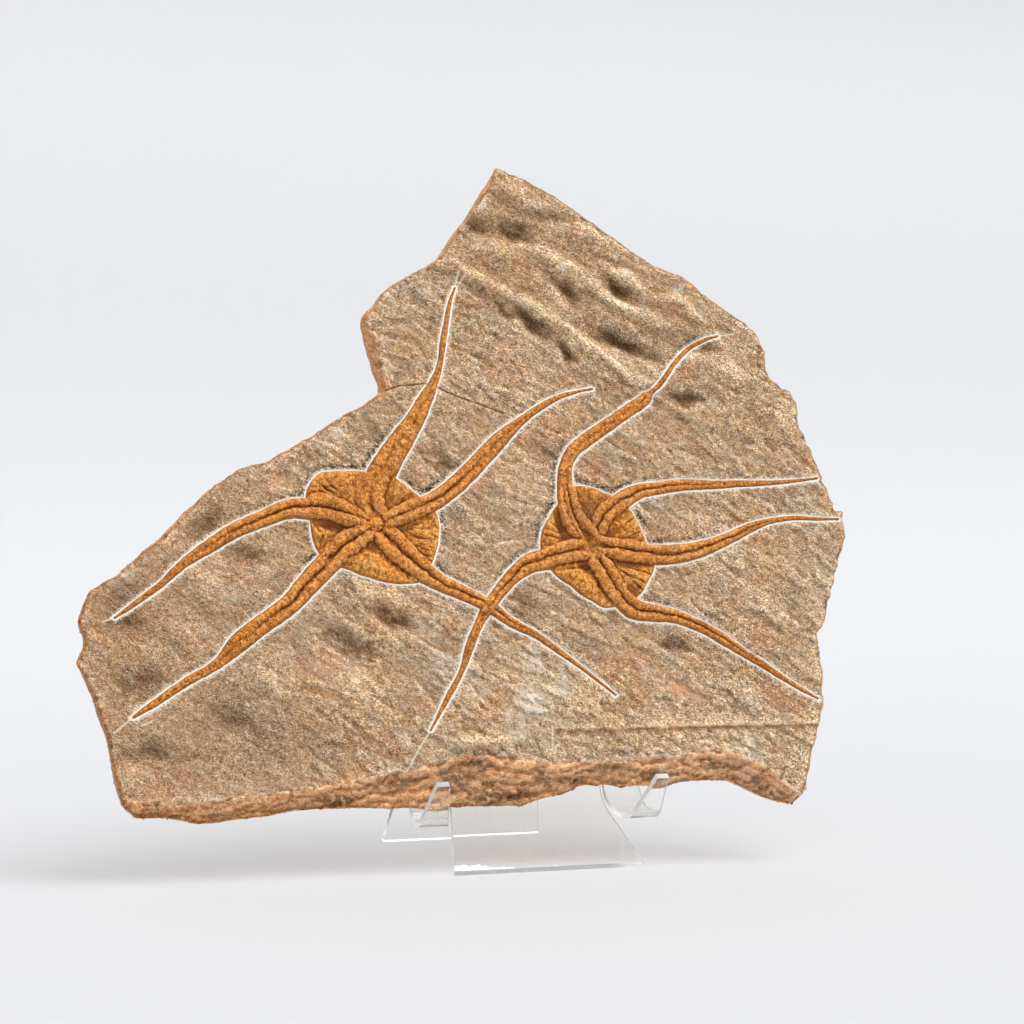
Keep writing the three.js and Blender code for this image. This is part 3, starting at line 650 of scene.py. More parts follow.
def triangulate(points, ring=None):
    """Triangles over a flat set of points, inside the ring that the first points make if there is one."""
    faces = [list(range(ring))] if ring else []
    made = delaunay_2d_cdt([Vector(p) for p in points], [], faces, 1 if ring else 0, 1e-7)
    if len(made[0]) != len(points):
        raise RuntimeError(f"the outline crosses itself: {len(points)} points became {len(made[0])}")
    return np.array(made[2])


def turned_up(points, triangles):
    """The triangles, all counter-clockwise."""
    a, b, c = (points[triangles[:, k]] for k in range(3))
    area = (b - a)[:, 0] * (c - a)[:, 1] - (b - a)[:, 1] * (c - a)[:, 0]
    triangles = triangles[np.abs(area) > 1e-9]
    area = area[np.abs(area) > 1e-9]
    triangles[area < 0] = triangles[area < 0][:, ::-1]
    return triangles


def lattice(low, high, step):
    """Points of a triangular lattice over a rectangle, each moved a little at random."""
    rows = np.arange(low[1], high[1], step * 0.866)
    columns = np.arange(low[0], high[0], step)
    x, y = np.meshgrid(columns, rows)
    x = x + (np.arange(len(rows)) % 2)[:, None] * step / 2
    shift = np.random.default_rng(7).uniform(-0.12, 0.12, (2, *x.shape)) * step
    return np.column_stack([(x + shift[0]).ravel(), (y + shift[1]).ravel()])


def spaced(points, step):
    """The points with at most one in each square of a grid."""
    _, first = np.unique(np.floor(points / step).astype(np.int64), axis=0, return_index=True)
    return points[np.sort(first)]


def inside_ring(ring, x, y):
    """Which points lie inside a ring."""
    inside = np.zeros(x.shape, bool)
    for (ax, ay), (bx, by) in zip(ring, np.roll(ring, -1, axis=0)):
        if ay == by:
            continue
        crosses = (ay > y) != (by > y)
        inside ^= crosses & (x < (bx - ax) * (y - ay) / (by - ay) + ax)
    return inside


def edges_of(triangles):
    """The directed edges of some triangles."""
    return np.vstack([triangles[:, [0, 1]], triangles[:, [1, 2]], triangles[:, [2, 0]]])


def border_edges(triangles):
    """The directed edges that only one triangle has."""
    edges = edges_of(triangles)
    key = np.sort(edges, axis=1)
    _, back, counts = np.unique(key, axis=0, return_inverse=True, return_counts=True)
    return edges[counts[back.ravel()] == 1]


def blurred(values, triangles, rounds):
    """Values on vertices, averaged with their neighbours a number of times."""
    edges = edges_of(triangles)
    weight = np.bincount(edges.ravel(), minlength=values.size) + 1e-9
    for _ in range(rounds):
        total = np.bincount(edges[:, 0], values[edges[:, 1]], values.size)
        total += np.bincount(edges[:, 1], values[edges[:, 0]], values.size)
        values = 0.5 * values + 0.5 * total / weight
    return values


def added(name, data):
    """A new object in the scene."""
    made = bpy.data.objects.new(name, data)
    bpy.context.scene.collection.objects.link(made)
    return made


def settled(piece):
    """A piece's modifiers worked into its mesh and taken away. It gives the new mesh."""
    mesh = bpy.data.meshes.new_from_object(piece.evaluated_get(bpy.context.evaluated_depsgraph_get()))
    piece.modifiers.clear()
    piece.data = mesh
    return mesh


def mesh_piece(name, points, faces, finish, fields, sharp_edges=None):
    """A smooth-shaded mesh object with vertex fields for its finish."""
    mesh = bpy.data.meshes.new(name)
    mesh.from_pydata(points.tolist(), [], faces.tolist())
    mesh.update()
    for field, values in fields.items():
        mesh.attributes.new(field, "FLOAT", "POINT").data.foreach_set("value", values.astype(np.float32))
    mesh.shade_smooth()
    if sharp_edges is not None:
        edges = np.zeros(len(mesh.edges) * 2, np.int64)
        mesh.edges.foreach_get("vertices", edges)
        codes = np.sort(edges.reshape(-1, 2), axis=1) @ (len(points) + 1, 1)
        wanted = np.sort(sharp_edges, axis=1) @ (len(points) + 1, 1)
        sharp = mesh.attributes.new("sharp_edge", "BOOLEAN", "EDGE")
        sharp.data.foreach_set("value", np.isin(codes, wanted))
    mesh.materials.append(finish)
    return added(name, mesh)


# ---- the slab

# How far the outline moves over the face for each millimetre of depth, on the sides that are seen edge-on.
SIGHT_SHEAR = np.array([0.26, 0.15])
# The shares of the depth at which the walls have a ring of points.
WALL_SHARES = (0.05, 0.13, 0.22, 0.33, 0.45, 0.57, 0.69, 0.80, 0.90, 0.97, 1.0)
# How far outside a star, and to the side of a scored line, the face has rows of closer points.
STAR_CONTOURS = (0.0, 0.42, 0.85, 1.4)
LINE_TRACKS = (-0.38, 0, 0.38)


def broken_outline(step):
    """The ragged outline, counter-clockwise, with its outward directions and the distance along it."""
    ring = straight_line(OUTLINE[::-1] + [OUTLINE[-1]], step)[:-1]
    run = np.arange(len(ring)) * step
    _, left = sideways(ring, closed=True)
    spread = 7
    soft = sum(np.roll(left, k, axis=0) for k in range(-spread, spread + 1))
    outward = -soft / np.hypot(*soft.T)[:, None]
    ragged = 0.72 * layered_noise(*(ring / 5).T, seed=60, layers=4, falloff=0.68)
    ragged = ragged * (1 - 0.6 * ease(12, 22, ring[:, 0]) * ease(180, 200, ring[:, 1]))
    return ring + outward * ragged[:, None], outward, run


def slab_walls(settings):
    """How the outline goes back through the stone: places on each ring for a given depth."""
    ring, outward, run = broken_outline(settings.mesh_step / MM)
    towards_sight = -(outward @ SIGHT_SHEAR) / np.hypot(*SIGHT_SHEAR)
    seen = ease(-0.25, 0.25, towards_sight)
    below = ease(0.35, 0.75, -outward[:, 1]) * ease(32, 24, ring[:, 1])
    strip = 3.4 + 1.5 * layered_noise(run / 16, 4.5, seed=61, layers=3)
    strip = np.clip(towards_sight + 0.12, 0, 1) * strip
    strip = np.maximum(strip, 0) * (1 - below) * (1 - 0.5 * ease(115, 80, ring[:, 1]))

    def at(depth, first):
        shown = np.clip(1 - depth / 5, 0, 1)
        inset = strip * shown ** 1.3
        beyond = np.maximum(depth - 5, 0)
        inset = inset + (1 - below) * 0.10 * beyond + below * 10 * np.clip((depth - 11.5) / 9, 0, 1) ** 1.2
        places = ring + SIGHT_SHEAR * (depth * seen)[:, None] - outward * inset[:, None]
        if first:
            return places
        beds = 0.65 * layered_noise(*(ring / 7).T, depth / 2.0, seed=62, layers=4, falloff=0.6)
        places = places + outward * (beds * np.clip(depth / 2, 0, 1))[:, None]
        return even_ring(places, round(1 + 0.45 * float(depth.mean())))
    return at, below


def even_ring(places, reach):
    """A ring with each place moved to the middle of its neighbours, so that its corners don't fold over."""
    return sum(np.roll(places, k, axis=0) for k in range(-reach, reach + 1)) / (2 * reach + 1)


def face_points(rim, step):
    """Flat places for the face, the rim's first, closer together at the stars' edges and scored lines."""
    grid = lattice(rim.min(axis=0), rim.max(axis=0), step)
    grid = grid[inside_ring(rim, *grid.T)]
    lines = NEEDLE_LINES + SCRATCHES + CRACKS
    grid = grid[(stars_gap(*grid.T)[0] > 1.9) & (distance_to_lines(lines, *grid.T) > 0.75)]
    coarse = lattice(rim.min(axis=0), rim.max(axis=0), 3.0)
    coarse = coarse[stars_gap(*coarse.T)[0] < -1.5]
    contours = np.vstack([spaced(star.offset(out), 0.42) for star in STAR_FORMS.values()
                          for out in STAR_CONTOURS])
    tracks = []
    for points in lines:
        line = straight_line(points, 0.6)
        left = sideways(line)[1]
        tracks += [line + left * out for out in LINE_TRACKS]
    tracks = spaced(np.vstack(tracks), 0.25)
    contours = contours[stars_gap(*contours.T)[0] > -0.1]
    tracks = tracks[stars_gap(*tracks.T)[0] > 0.5]
    inner = spaced(np.vstack([contours, tracks, coarse, grid]), 0.2)
    inner = inner[inside_ring(rim, *inner.T)]
    _, index = nearest(rim, *inner.T)
    rim_gap = np.hypot(*(inner - rim[index]).T)
    clear = rim_gap > 0.45
    return np.vstack([rim, inner[clear]]), np.concatenate([np.zeros(len(rim)), rim_gap[clear]])


def back_surface(ring, thick):
    """The back inside its ring: flat places, their depths, and triangles that count from the ring."""
    grid = lattice(ring.min(axis=0), ring.max(axis=0), 2.4)
    grid = grid[inside_ring(ring, *grid.T)]
    _, index = nearest(ring, *grid.T)
    gap = np.hypot(*(grid - ring[index]).T)
    grid, gap = grid[gap > 1.2], gap[gap > 1.2]
    flat = np.vstack([ring, grid])
    faces = turned_up(flat, triangulate(flat, len(ring)))[:, ::-1]
    a, b = grain_axes(*grid.T)
    hollow = 0.5 + 0.45 * layered_noise(a / 16, b / 9, seed=66, layers=5)
    hollow = hollow + 0.5 * ease(-0.05, 0.05, layered_noise(a / 40, b / 22, seed=67, layers=3))
    return grid, thick - np.clip(hollow, 0, 2) * ease(0, 3, gap), faces


def slab_fields(x, w, gap, rise, rim_gap, height, face, walls):
    """What the stone's finish reads: for each field, its values on the face and its value elsewhere."""
    x_bent, w_bent = x + 2.5 * noise(x / 8, w / 8, seed=71), w + 2.5 * noise(x / 8, w / 8, seed=72)
    # Patches of tone: most are painted shade on the face's hollows and painted light on its swells.
    tone = sum(amount * patch(x_bent, w_bent, *oval) for *oval, amount in TONE_AND_SHADE_PATCHES)
    mouths = np.min([np.hypot(x - star.mouth[0], w - star.mouth[1]) for star in STAR_FORMS.values()],
                    axis=0)
    # A dark speckled band round each star, strongest above it and near its mouth.
    smudge = (0.25 + 0.75 * ease(-0.4, 0.4, rise)) * (0.2 + 0.8 * ease(50, 28, mouths))
    edge = np.maximum(ease(0.02, 0.14, bevel_share(x, w, lower_rim(x))), ease(0.9, 0.2, rim_gap))
    return {
        "star_gap": (np.clip(gap, -3, 12), 12),
        "star_rise": (rise, 0),
        "smudge": (np.clip(smudge, 0, 1), 0),
        "needle": (distance_to_lines(NEEDLE_LINES + SCRATCHES, x, w), FAR),
        "crack": (distance_to_lines(CRACKS, x, w), FAR),
        "broken": (edge, walls),
        # fine and wide: how far each point stands above or below its neighbours, close by and further off.
        # The finish paints shade into the hollows and light onto the rises from them.
        "fine": (height - blurred(height, face, 6), 0),
        "wide": (height - blurred(height, face, 60), 0),
        "calcite": (spots(CALCITE, x, w), 0),
        "lumpy": (ease(-3, 6, above_crest(x, w)), 0.3),
        "peach": (sum(patch(x, w, *spot) for spot in PEACH_SPOTS), 0),
        "tone": (np.clip(tone, -1.2, 1.2), 0),
        "stain": (np.clip(sum(patch(x, w, *spot) for spot in STAINS), 0, 1), 0),
    }


def build_slab(settings, finish):
    """The slab's face, its broken walls and its back, as one closed mesh."""
    at, below = slab_walls(settings)
    thick = settings.thickness / MM
    rim = at(settings.bevel_depth / MM * below, True)
    count = len(rim)
    flat, rim_gap = face_points(rim, settings.mesh_step / MM)
    face = turned_up(flat, triangulate(flat, count))
    x, w = flat.T
    gap, rise = stars_gap(x, w)
    height = face_height(x, w, gap, rim_gap, settings)

    points, faces = [place(x, w, -height)], [face]
    before, total, start = np.arange(count), len(flat), -height[:count]
    for part in WALL_SHARES:
        depth = start + (thick - 0.35 - start) * part
        ring = at(depth, False)
        points.append(place(*ring.T, depth))
        after = total + np.arange(count)
        total += count
        beside, further = np.roll(before, -1), np.roll(after, -1)
        faces += [np.column_stack([before, after, beside]), np.column_stack([beside, after, further])]
        before = after
    back, back_depth, back_faces = back_surface(ring, thick)
    points.append(place(*back.T, back_depth))
    faces.append(np.concatenate([before, total + np.arange(len(back))])[back_faces])

    wall_share = np.repeat(1 - 0.3 * ease(0.3, 0.8, np.array(WALL_SHARES)), count)
    walls = np.concatenate([wall_share, np.full(len(back), 0.15)])
    fields = slab_fields(x, w, gap, rise, rim_gap, height, face, walls)
    fields = {name: np.concatenate([values, np.broadcast_to(other, walls.shape)])
              for name, (values, other) in fields.items()}
    return mesh_piece("stone_slab", np.vstack(points), np.vstack(faces), finish, fields)


def spots(places, x, w):
    """Soft round patches: x, w, radius, strength."""
    total = np.zeros(x.shape)
    for cx, cw, radius, strength in places:
        total += strength * np.exp(-((x - cx) ** 2 + (w - cw) ** 2) / (0.5 * radius) ** 2)
    return np.clip(total, 0, 1.2)


# ---- the stars

# The squares, in millimetres, that a star's points are looked for in, and more of them than a row can hold.
CELL = 4
CELL_ROW = 10000


def ridge_height(ridges, x, w, seed):
    """The height of the round ridges that cross a disc, in millimetres."""
    bent = noise(x / 2.6, w / 2.6, seed=seed), noise(x / 2.6, w / 2.6, seed=seed + 1)
    x_bent, w_bent = x + 0.46 * bent[0], w + 0.46 * bent[1]
    top = np.zeros(x.shape)
    for k, points in enumerate(ridges):
        line, run = smooth_line(points, 0.4)
        near, index = nearest(line, x_bent, w_bent, 5)
        away = np.hypot(x_bent[near] - line[index, 0], w_bent[near] - line[index, 1])
        breadth = line[index, 2] * (1.03 + 0.19 * noise(run[index] / 3, k * 5.3, seed=seed + 2))
        high = line[index, 3] * (0.97 + 0.12 * noise(run[index] / 3.5, k * 3.1, seed=seed + 3))
        top[near] = np.maximum(top[near], high * (1 - (away / breadth) ** 2).clip(0, 1) ** 0.6)
    return top


def disc_relief(star, x, w, f, mounds, dug):
    """The disc with its pockets, wrinkles and round ridges, the ridges' own height and where they cover."""
    streaks = np.interp(f.angle, *np.array(star.plan["streaks"]).T)
    wrinkles = noise(*(f.unit * 13).T, f.radius / 15, seed=star.seed + 3)
    wrinkles = wrinkles + 0.6 * noise(*(f.unit * 29).T, f.radius / 9, seed=star.seed + 4)
    crease = np.exp(-(np.maximum(f.arm_gap, 0) / 1.2) ** 2) * ease(30, 8, f.radius)
    crease = crease * (0.5 + 0.9 * star.rough(x / 6, w / 6, 20)).clip(0, 1)
    disc = 0.75 + 1.0 * ease(0, 9, f.arm_gap) - 0.3 * crease + mounds - dug
    disc = disc + 1.5 * streaks * wrinkles * ease(0.3, 3, f.arm_gap)
    disc = disc + 0.35 * star.rough(x / 4, w / 4, 12) + 0.20 * star.rough(x / 2, w / 2, 18)
    disc = np.maximum(disc, 2.1 * (1 - (f.radius / 6.2) ** 2).clip(0, 1) ** 0.5)
    ridges = ridge_height(star.plan["ridges"], x, w, star.seed + 30)
    covered = ease(-0.2, 0.5, ridges - np.maximum(disc, 0.4))
    edge = np.clip(-f.gap / 1.3, 0, 1)
    disc = 0.35 + (np.maximum(disc, ridges) - 0.35) * np.sqrt(1 - (1 - edge) ** 2)
    return disc, ridges, covered


def arm_relief(star, x, w, f, mounds, settings):
    """The arms: pairs of round ridges that run together towards the tip. Also how deep the groove is."""
    along, own, share = f.along, f.own, f.share
    ends, middles = (np.array(star.plan[key])[own] for key in ("groove_ends", "groove_middles"))
    inside = ease(1.5, -2, f.disc_gap)
    foot = 0.2 + (0.55 + 0.6 * mounds.clip(0, 2)) * inside
    middle = middles * ease(0, 8, along) * ease(0.4, 0.1, share)
    middle = middle + 0.24 * star.rough(along / 7, own * 5.3, 6)
    u = f.across / f.half
    across_ridge = np.where(u > middle, (u - middle) / (1 - middle), (middle - u) / (1 + middle)).clip(0, 1)
    ridge_side = np.where(u > middle, 0, 50)
    ridge = (4 * across_ridge * (1 - across_ridge)).clip(0, 1)
    ridge = ridge ** np.where(across_ridge > 0.5, 0.62, 0.75)
    dome = np.sqrt((1 - np.abs(u).clip(0, 1) ** 2.2).clip(0, 1))
    fade = ease(ends * 1.3, ends * 0.7, share + 0.05 * star.rough(along / 5, own * 3.1, 5))
    near_mouth = ease(1.8, 3.6, f.radius)
    bottom = 1 - settings.groove * fade * (0.8 + 0.35 * star.rough(along / 5, own * 2.7, 14))
    groove = (ridge ** 3 + (bottom * near_mouth + 1 - near_mouth) ** 3) ** (1 / 3)
    tubes = np.minimum(np.where(across_ridge < 0.5, groove, ridge), 1.0)
    faint = (1 - fade) * (0.12 + 0.22 * star.rough(along / 3, own * 1.9, 15).clip(0, 1))
    faint = faint * np.exp(-(across_ridge / 0.28) ** 2) * ease(0.95, 0.6, share)
    profile = (0.25 + 0.75 * fade) * tubes + 0.75 * (1 - fade) * dome - faint
    uneven = 1 + 0.24 * star.rough(along / 4.5, own * 4.3 + ridge_side, 13)
    uneven = uneven + 0.16 * star.rough(along / 1.8, own * 4.3 + ridge_side, 19)
    crest = (0.28 + 0.62 * f.half) * settings.arm_height * uneven + 0.25 * inside
    beat = along / (0.42 * f.half + 0.55) + 0.8 * star.rough(x / 4, w / 4, 7)
    beads = np.cos(2 * math.pi * beat) * (0.4 + star.rough(x / 5, w / 5, 16).clip(0, 1))
    arm = foot + (crest - foot) * profile + 0.05 * beads * profile * ease(0, 6, along)
    return arm, fade * ease(0.22, 0.0, across_ridge) * near_mouth


def mouth_relief(star, x, w, f, height):
    """The round knob with a crease under it on one star's mouth, and the open slits of the other's."""
    if star.name == "star_a":
        turn = 0.5 + 0.5 * np.cos(np.radians(f.angle - 290))
        bent = f.radius + 0.5 * noise(x / 2.2, w / 2.2, seed=4)
        round_knob = (1 - (bent / 3.3) ** 2).clip(0, 1)
        knob = 2.6 * round_knob ** 0.35 + 0.6 * noise(x / 1.8, w / 1.8, seed=5) * ease(0, 0.2, round_knob)
        return np.maximum(height, knob) - 0.9 * turn ** 2 * np.exp(-((f.radius - 3.4) / 0.5) ** 2)
    return height - 1.6 * patch(x, w, 47.5, 107.4, 5.4, 1.7, -73) - 1.1 * patch(x, w, 52, 105, 3, 1.2, -20)


def star_relief(star, x, w, settings):
    """A star's surface and floor, in millimetres out of the slab's face, and its finish's fields."""
    plan, f = star.plan, star.field(x, w)
    off = np.column_stack([x, w]) - star.mouth
    f.radius = np.hypot(*off.T)
    f.unit = off / np.maximum(f.radius, 1e-6)[:, None]
    f.angle = np.degrees(np.arctan2(off[:, 1], off[:, 0])) % 360
    f.share = f.along / np.array([arm.length for arm in star.arms])[f.own]
    share = f.share.clip(0, 1)
    mounds = sum(rise * patch(x, w, *oval) for *oval, rise in plan["mounds"])
    dug = sum(deep * patch(x, w, *oval) for *oval, deep in plan["pockets"])
    disc, ridges, covered = disc_relief(star, x, w, f, mounds, dug)
    arm, groove = arm_relief(star, x, w, f, mounds, settings)
    on_arm = f.arm_gap < 0
    within = ease(4.0, -1.0, f.disc_gap)
    height = np.where(on_arm, arm + (disc - arm) * within, np.where(f.disc_gap < 0, disc, 0.3))
    height = mouth_relief(star, x, w, f, height)
    worn = layered_noise(x / 1.7, w / 1.7, seed=star.seed + 8, layers=3)
    pits = ease(0.38, 0.75, star.rough(x / 1.0, w / 1.0, 9)) * (0.35 + 1.1 * share) * on_arm
    height = height + 0.32 * star.rough(x / 3.2, w / 3.2, 21) * ease(0, 1.5, -f.gap)
    height = height + 0.32 * worn * ease(0, 0.8, -f.gap) - 0.34 * pits * ease(0.1, 0.7, -f.gap)
    lift = np.zeros(x.shape)
    floor = np.full(x.shape, -settings.bed_depth / MM)
    if star.name == OVERLYING[0]:
        under = STAR_FORMS[UNDERLYING[0]].arms[UNDERLYING[1]].field(x, w)[3]
        over = f.own == OVERLYING[1]
        lift = settings.crossing_lift / MM * ease(3.0, -1.5, under) * over
        floor = np.where(over & (under < 0.3), 0.9 * lift - 0.1, floor)
    height = np.maximum(height, 0.15) + lift
    return height, floor, {
        "brown": sum(amount * patch(x, w, *oval) for *oval, amount in plan["browns"]).clip(0, 1),
        # dug: where the disc's pockets are cut, which the finish fills with painted shade.
        "dug": dug.clip(0, 2) * (1 - covered) * ease(2, -1, f.disc_gap),
        "powder": spots(plan["powder"], x, w),
        "gap": f.gap,
        "crest": ease(0.3, 1.2, ridges) * (1 - share),
        "sector": ease(0.5, -1.5, f.disc_gap) * ease(1.2, 0.3, ridges),
        # groove: the arms' grooves, where the finish paints shade.
        "groove": groove * on_arm * (1 - within),
        "share": share,
        "pits": pits,
    }


def star_points(star, step):
    """Flat places inside a star's edge and along it, and the triangles between them."""
    reach = star.offset(1.0)
    grid = lattice(reach.min(axis=0) - 1, reach.max(axis=0) + 1, step)
    near_edge = np.vstack([star.offset(-0.5), star.offset(-2.5)])
    cells = {tuple(cell) for cell in np.floor(near_edge / CELL).astype(int)}
    cells |= {(i + di, j + dj) for i, j in cells for di in (-1, 0, 1) for dj in (-1, 0, 1)}
    codes = np.array([i * CELL_ROW + j for i, j in cells])
    likely = np.isin(np.floor(grid / CELL).astype(int) @ (CELL_ROW, 1), codes)
    grid = grid[likely | (star.disc_gap(*grid.T) < 0)]
    grid = grid[star.gap(*grid.T) < -0.75 * step]
    edge = spaced(star.offset(0.0), 0.55 * step)
    flat = spaced(np.vstack([edge, grid]), 0.3 * step)
    faces = turned_up(flat, triangulate(flat))
    middle = flat[faces].mean(axis=1)
    return flat, faces[(star.gap(*middle.T) < 0.0) & (max_edge(flat, faces) < 3 * step)]


def build_star(star, settings, finish):
    """A star's disc and arms, each a closed piece with its floor bedded in the stone."""
    flat, faces = star_points(star, settings.mesh_step / MM)
    x, w = flat.T
    height, floor, fields = star_relief(star, x, w, settings)
    level = bed(x, w)
    rim = fields["gap"] > -0.7
    # fine and wide: how far each point stands above or below its neighbours. The finish paints shade into
    # the hollows and light onto the crests from them; at the rim they are held up so that the edge isn't
    # painted dark.
    fields["fine"] = np.maximum(height - blurred(height, faces, 6), np.where(rim, -0.05, -2.0))
    fields["wide"] = np.maximum(height - blurred(height, faces, 40), np.where(rim, -0.35, -4.0))
    middle = star.field(*flat[faces].mean(axis=1).T)
    owner = np.where(middle.disc_gap < 0, -1, middle.own)
    pieces = []
    for part in range(-1, len(star.arms)):
        used, mine = np.unique(faces[owner == part], return_inverse=True)
        mine = mine.reshape(-1, 3)
        points = np.vstack([place(x[used], w[used], -(side + level)[used]) for side in (height, floor)])
        border = border_edges(mine)
        n = len(used)
        a, b = border.T
        skirt = np.vstack([np.column_stack([a, a + n, b]), np.column_stack([b, a + n, b + n])])
        shell = np.vstack([mine, mine[:, ::-1] + n, skirt])
        name = f"{star.name}_disc" if part < 0 else f"{star.name}_arm_{part + 1}"
        here = {key: np.concatenate([values[used], values[used]]) for key, values in fields.items()}
        here["gap"][n:] = 0.5
        sharp = np.vstack([border, border + n])
        pieces.append((mesh_piece(f"carved_{name}", points, shell, finish, here, sharp), name))
    return pieces


def max_edge(points, faces):
    """The longest side of each triangle."""
    corners = points[faces]
    return np.max([np.hypot(*(corners[:, k] - corners[:, k - 1]).T) for k in range(3)], axis=0)


# ---- finishes

def colour(red, green, blue):
    """A colour given as it looks on a screen, from 0 to 255, as Blender keeps it."""
    def straight(v):
        v /= 255
        return v / 12.92 if v <= 0.04045 else ((v + 0.055) / 1.055) ** 2.4
    return (straight(red), straight(green), straight(blue), 1.0)


class Board:
    """Short ways to add and link shader nodes."""

    def __init__(self, tree):
        self.tree = tree
        self.tree.nodes.clear()

    def node(self, kind, inputs=None, **settings):
        made = self.tree.nodes.new(kind)
        for key, value in settings.items():
            setattr(made, key, value)
        for key, value in (inputs or {}).items():
            self.put(made.inputs[key], value)
        return made

    def put(self, socket, value):
        if isinstance(value, bpy.types.NodeSocket):
            self.tree.links.new(value, socket)
        elif value is not None:
            socket.default_value = value

    def maths(self, operation, a, b=None, c=None, clamp=False):
        node = self.node("ShaderNodeMath", {0: a, 1: b, 2: c}, operation=operation, use_clamp=clamp)
        return node.outputs[0]

    def product(self, *values):
        """Values multiplied together."""
        total = values[0]
        for value in values[1:]:
            total = self.maths("MULTIPLY", total, value)
        return total

    def weighed(self, *pairs):
        """The sum of some values, each times its weight."""
        total = self.maths("MULTIPLY", *pairs[0])
        for pair in pairs[1:]:
            total = self.maths("ADD", total, self.maths("MULTIPLY", *pair))
        return total

    def span(self, value, low, high, out_low=0.0, out_high=1.0, smooth=False):
        node = self.node("ShaderNodeMapRange", {"Value": value, "From Min": low, "From Max": high,
                                                "To Min": out_low, "To Max": out_high},
                         interpolation_type="SMOOTHSTEP" if smooth else "LINEAR")
        return node.outputs["Result"]

    def jittered(self, value, by, low, high):
        """A value moved from low to high by a noise."""
        return self.maths("ADD", value, self.span(by, 0.3, 0.7, low, high))

    def blend(self, share, a, b):
        node = self.node("ShaderNodeMix", data_type="RGBA", clamp_factor=True)
        for key, value in (("Factor", share), (6, a), (7, b)):
            self.put(node.inputs[key], value)
        return node.outputs[2]

    def cover(self, tint, over, *shares):
        """A tint covered with a colour by the product of some shares."""
        return self.blend(self.product(*shares), tint, colour(*over))

    def wash(self, tint, *washes):
        """A tint with washes over it, each coming in as its value goes from low to high, up to a share."""
        for value, low, high, share, over in washes:
            over = colour(*over) if len(over) == 3 else over
            tint = self.blend(self.span(value, low, high, 0, share), tint, over)
        return tint

    def field(self, name):
        return self.node("ShaderNodeAttribute", attribute_name=name).outputs["Fac"]

    def mapped(self, vector, turn=(0, 0, 0), scale=(1, 1, 1)):
        """Places turned and then made larger."""
        node = self.node("ShaderNodeMapping", {"Vector": vector, "Rotation": turn, "Scale": scale})
        return node.outputs[0]

    def noise(self, vector, scale, detail=2.0, rough=0.5, twist=0.0):
        return self.node("ShaderNodeTexNoise", {"Vector": vector, "Scale": scale, "Detail": detail,
                                                "Roughness": rough, "Distortion": twist}).outputs["Fac"]

    def streaks(self, vector, angle, length, breadth, *kind):
        """Noise drawn out into streaks at an angle in degrees."""
        turned = self.mapped(vector, turn=(0, math.radians(angle), 0))
        return self.noise(self.mapped(turned, scale=(1 / length, 1 / breadth, 1 / breadth)), 1.0, *kind)

    def grain(self, vector, *sizes):
        """The sand grain group's outputs, for a length, a breadth and the strength of its flecks."""
        inputs = dict(zip(("Place", "Length", "Breadth", "Dark", "Light"), (vector, *sizes)))
        return self.node("ShaderNodeGroup", inputs, node_tree=grain_group()).outputs

    def times(self, tint, value, warmth):
        """A colour times a value. With some warmth, the darker it gets the redder it is."""
        green, blue = (self.maths("POWER", value, 1 + k * warmth) for k in (1, 2.3))
        parts = {0: value, 1: green, 2: blue}
        each = self.node("ShaderNodeCombineXYZ", parts).outputs[0]
        return self.node("ShaderNodeVectorMath", {0: tint, 1: each}, operation="MULTIPLY").outputs[0]

    def slab_place(self):
        """Object coordinates turned to the slab's own axes, in millimetres."""
        here = self.node("ShaderNodeTexCoord").outputs["Object"]
        return self.mapped(here, (LEAN, 0, 0), (1 / MM, 1 / MM, 1 / MM))

    def finish(self, inputs):
        """The Principled shader with its inputs, wired to the output."""
        shader = self.node("ShaderNodeBsdfPrincipled", inputs)
        self.node("ShaderNodeOutputMaterial", {"Surface": shader.outputs[0]})


def new_finish(name):
    """An empty material and its board."""
    material = bpy.data.materials.new(name)
    material.use_nodes = True
    return material, Board(material.node_tree)


def named_inputs(tree, rows):
    """Adds named input sockets to a node group, each with its kind and its value if it has one."""
    for label, kind, value in rows:
        socket = tree.interface.new_socket(label, in_out="INPUT", socket_type=kind)
        if value is not None:
            socket.default_value = value


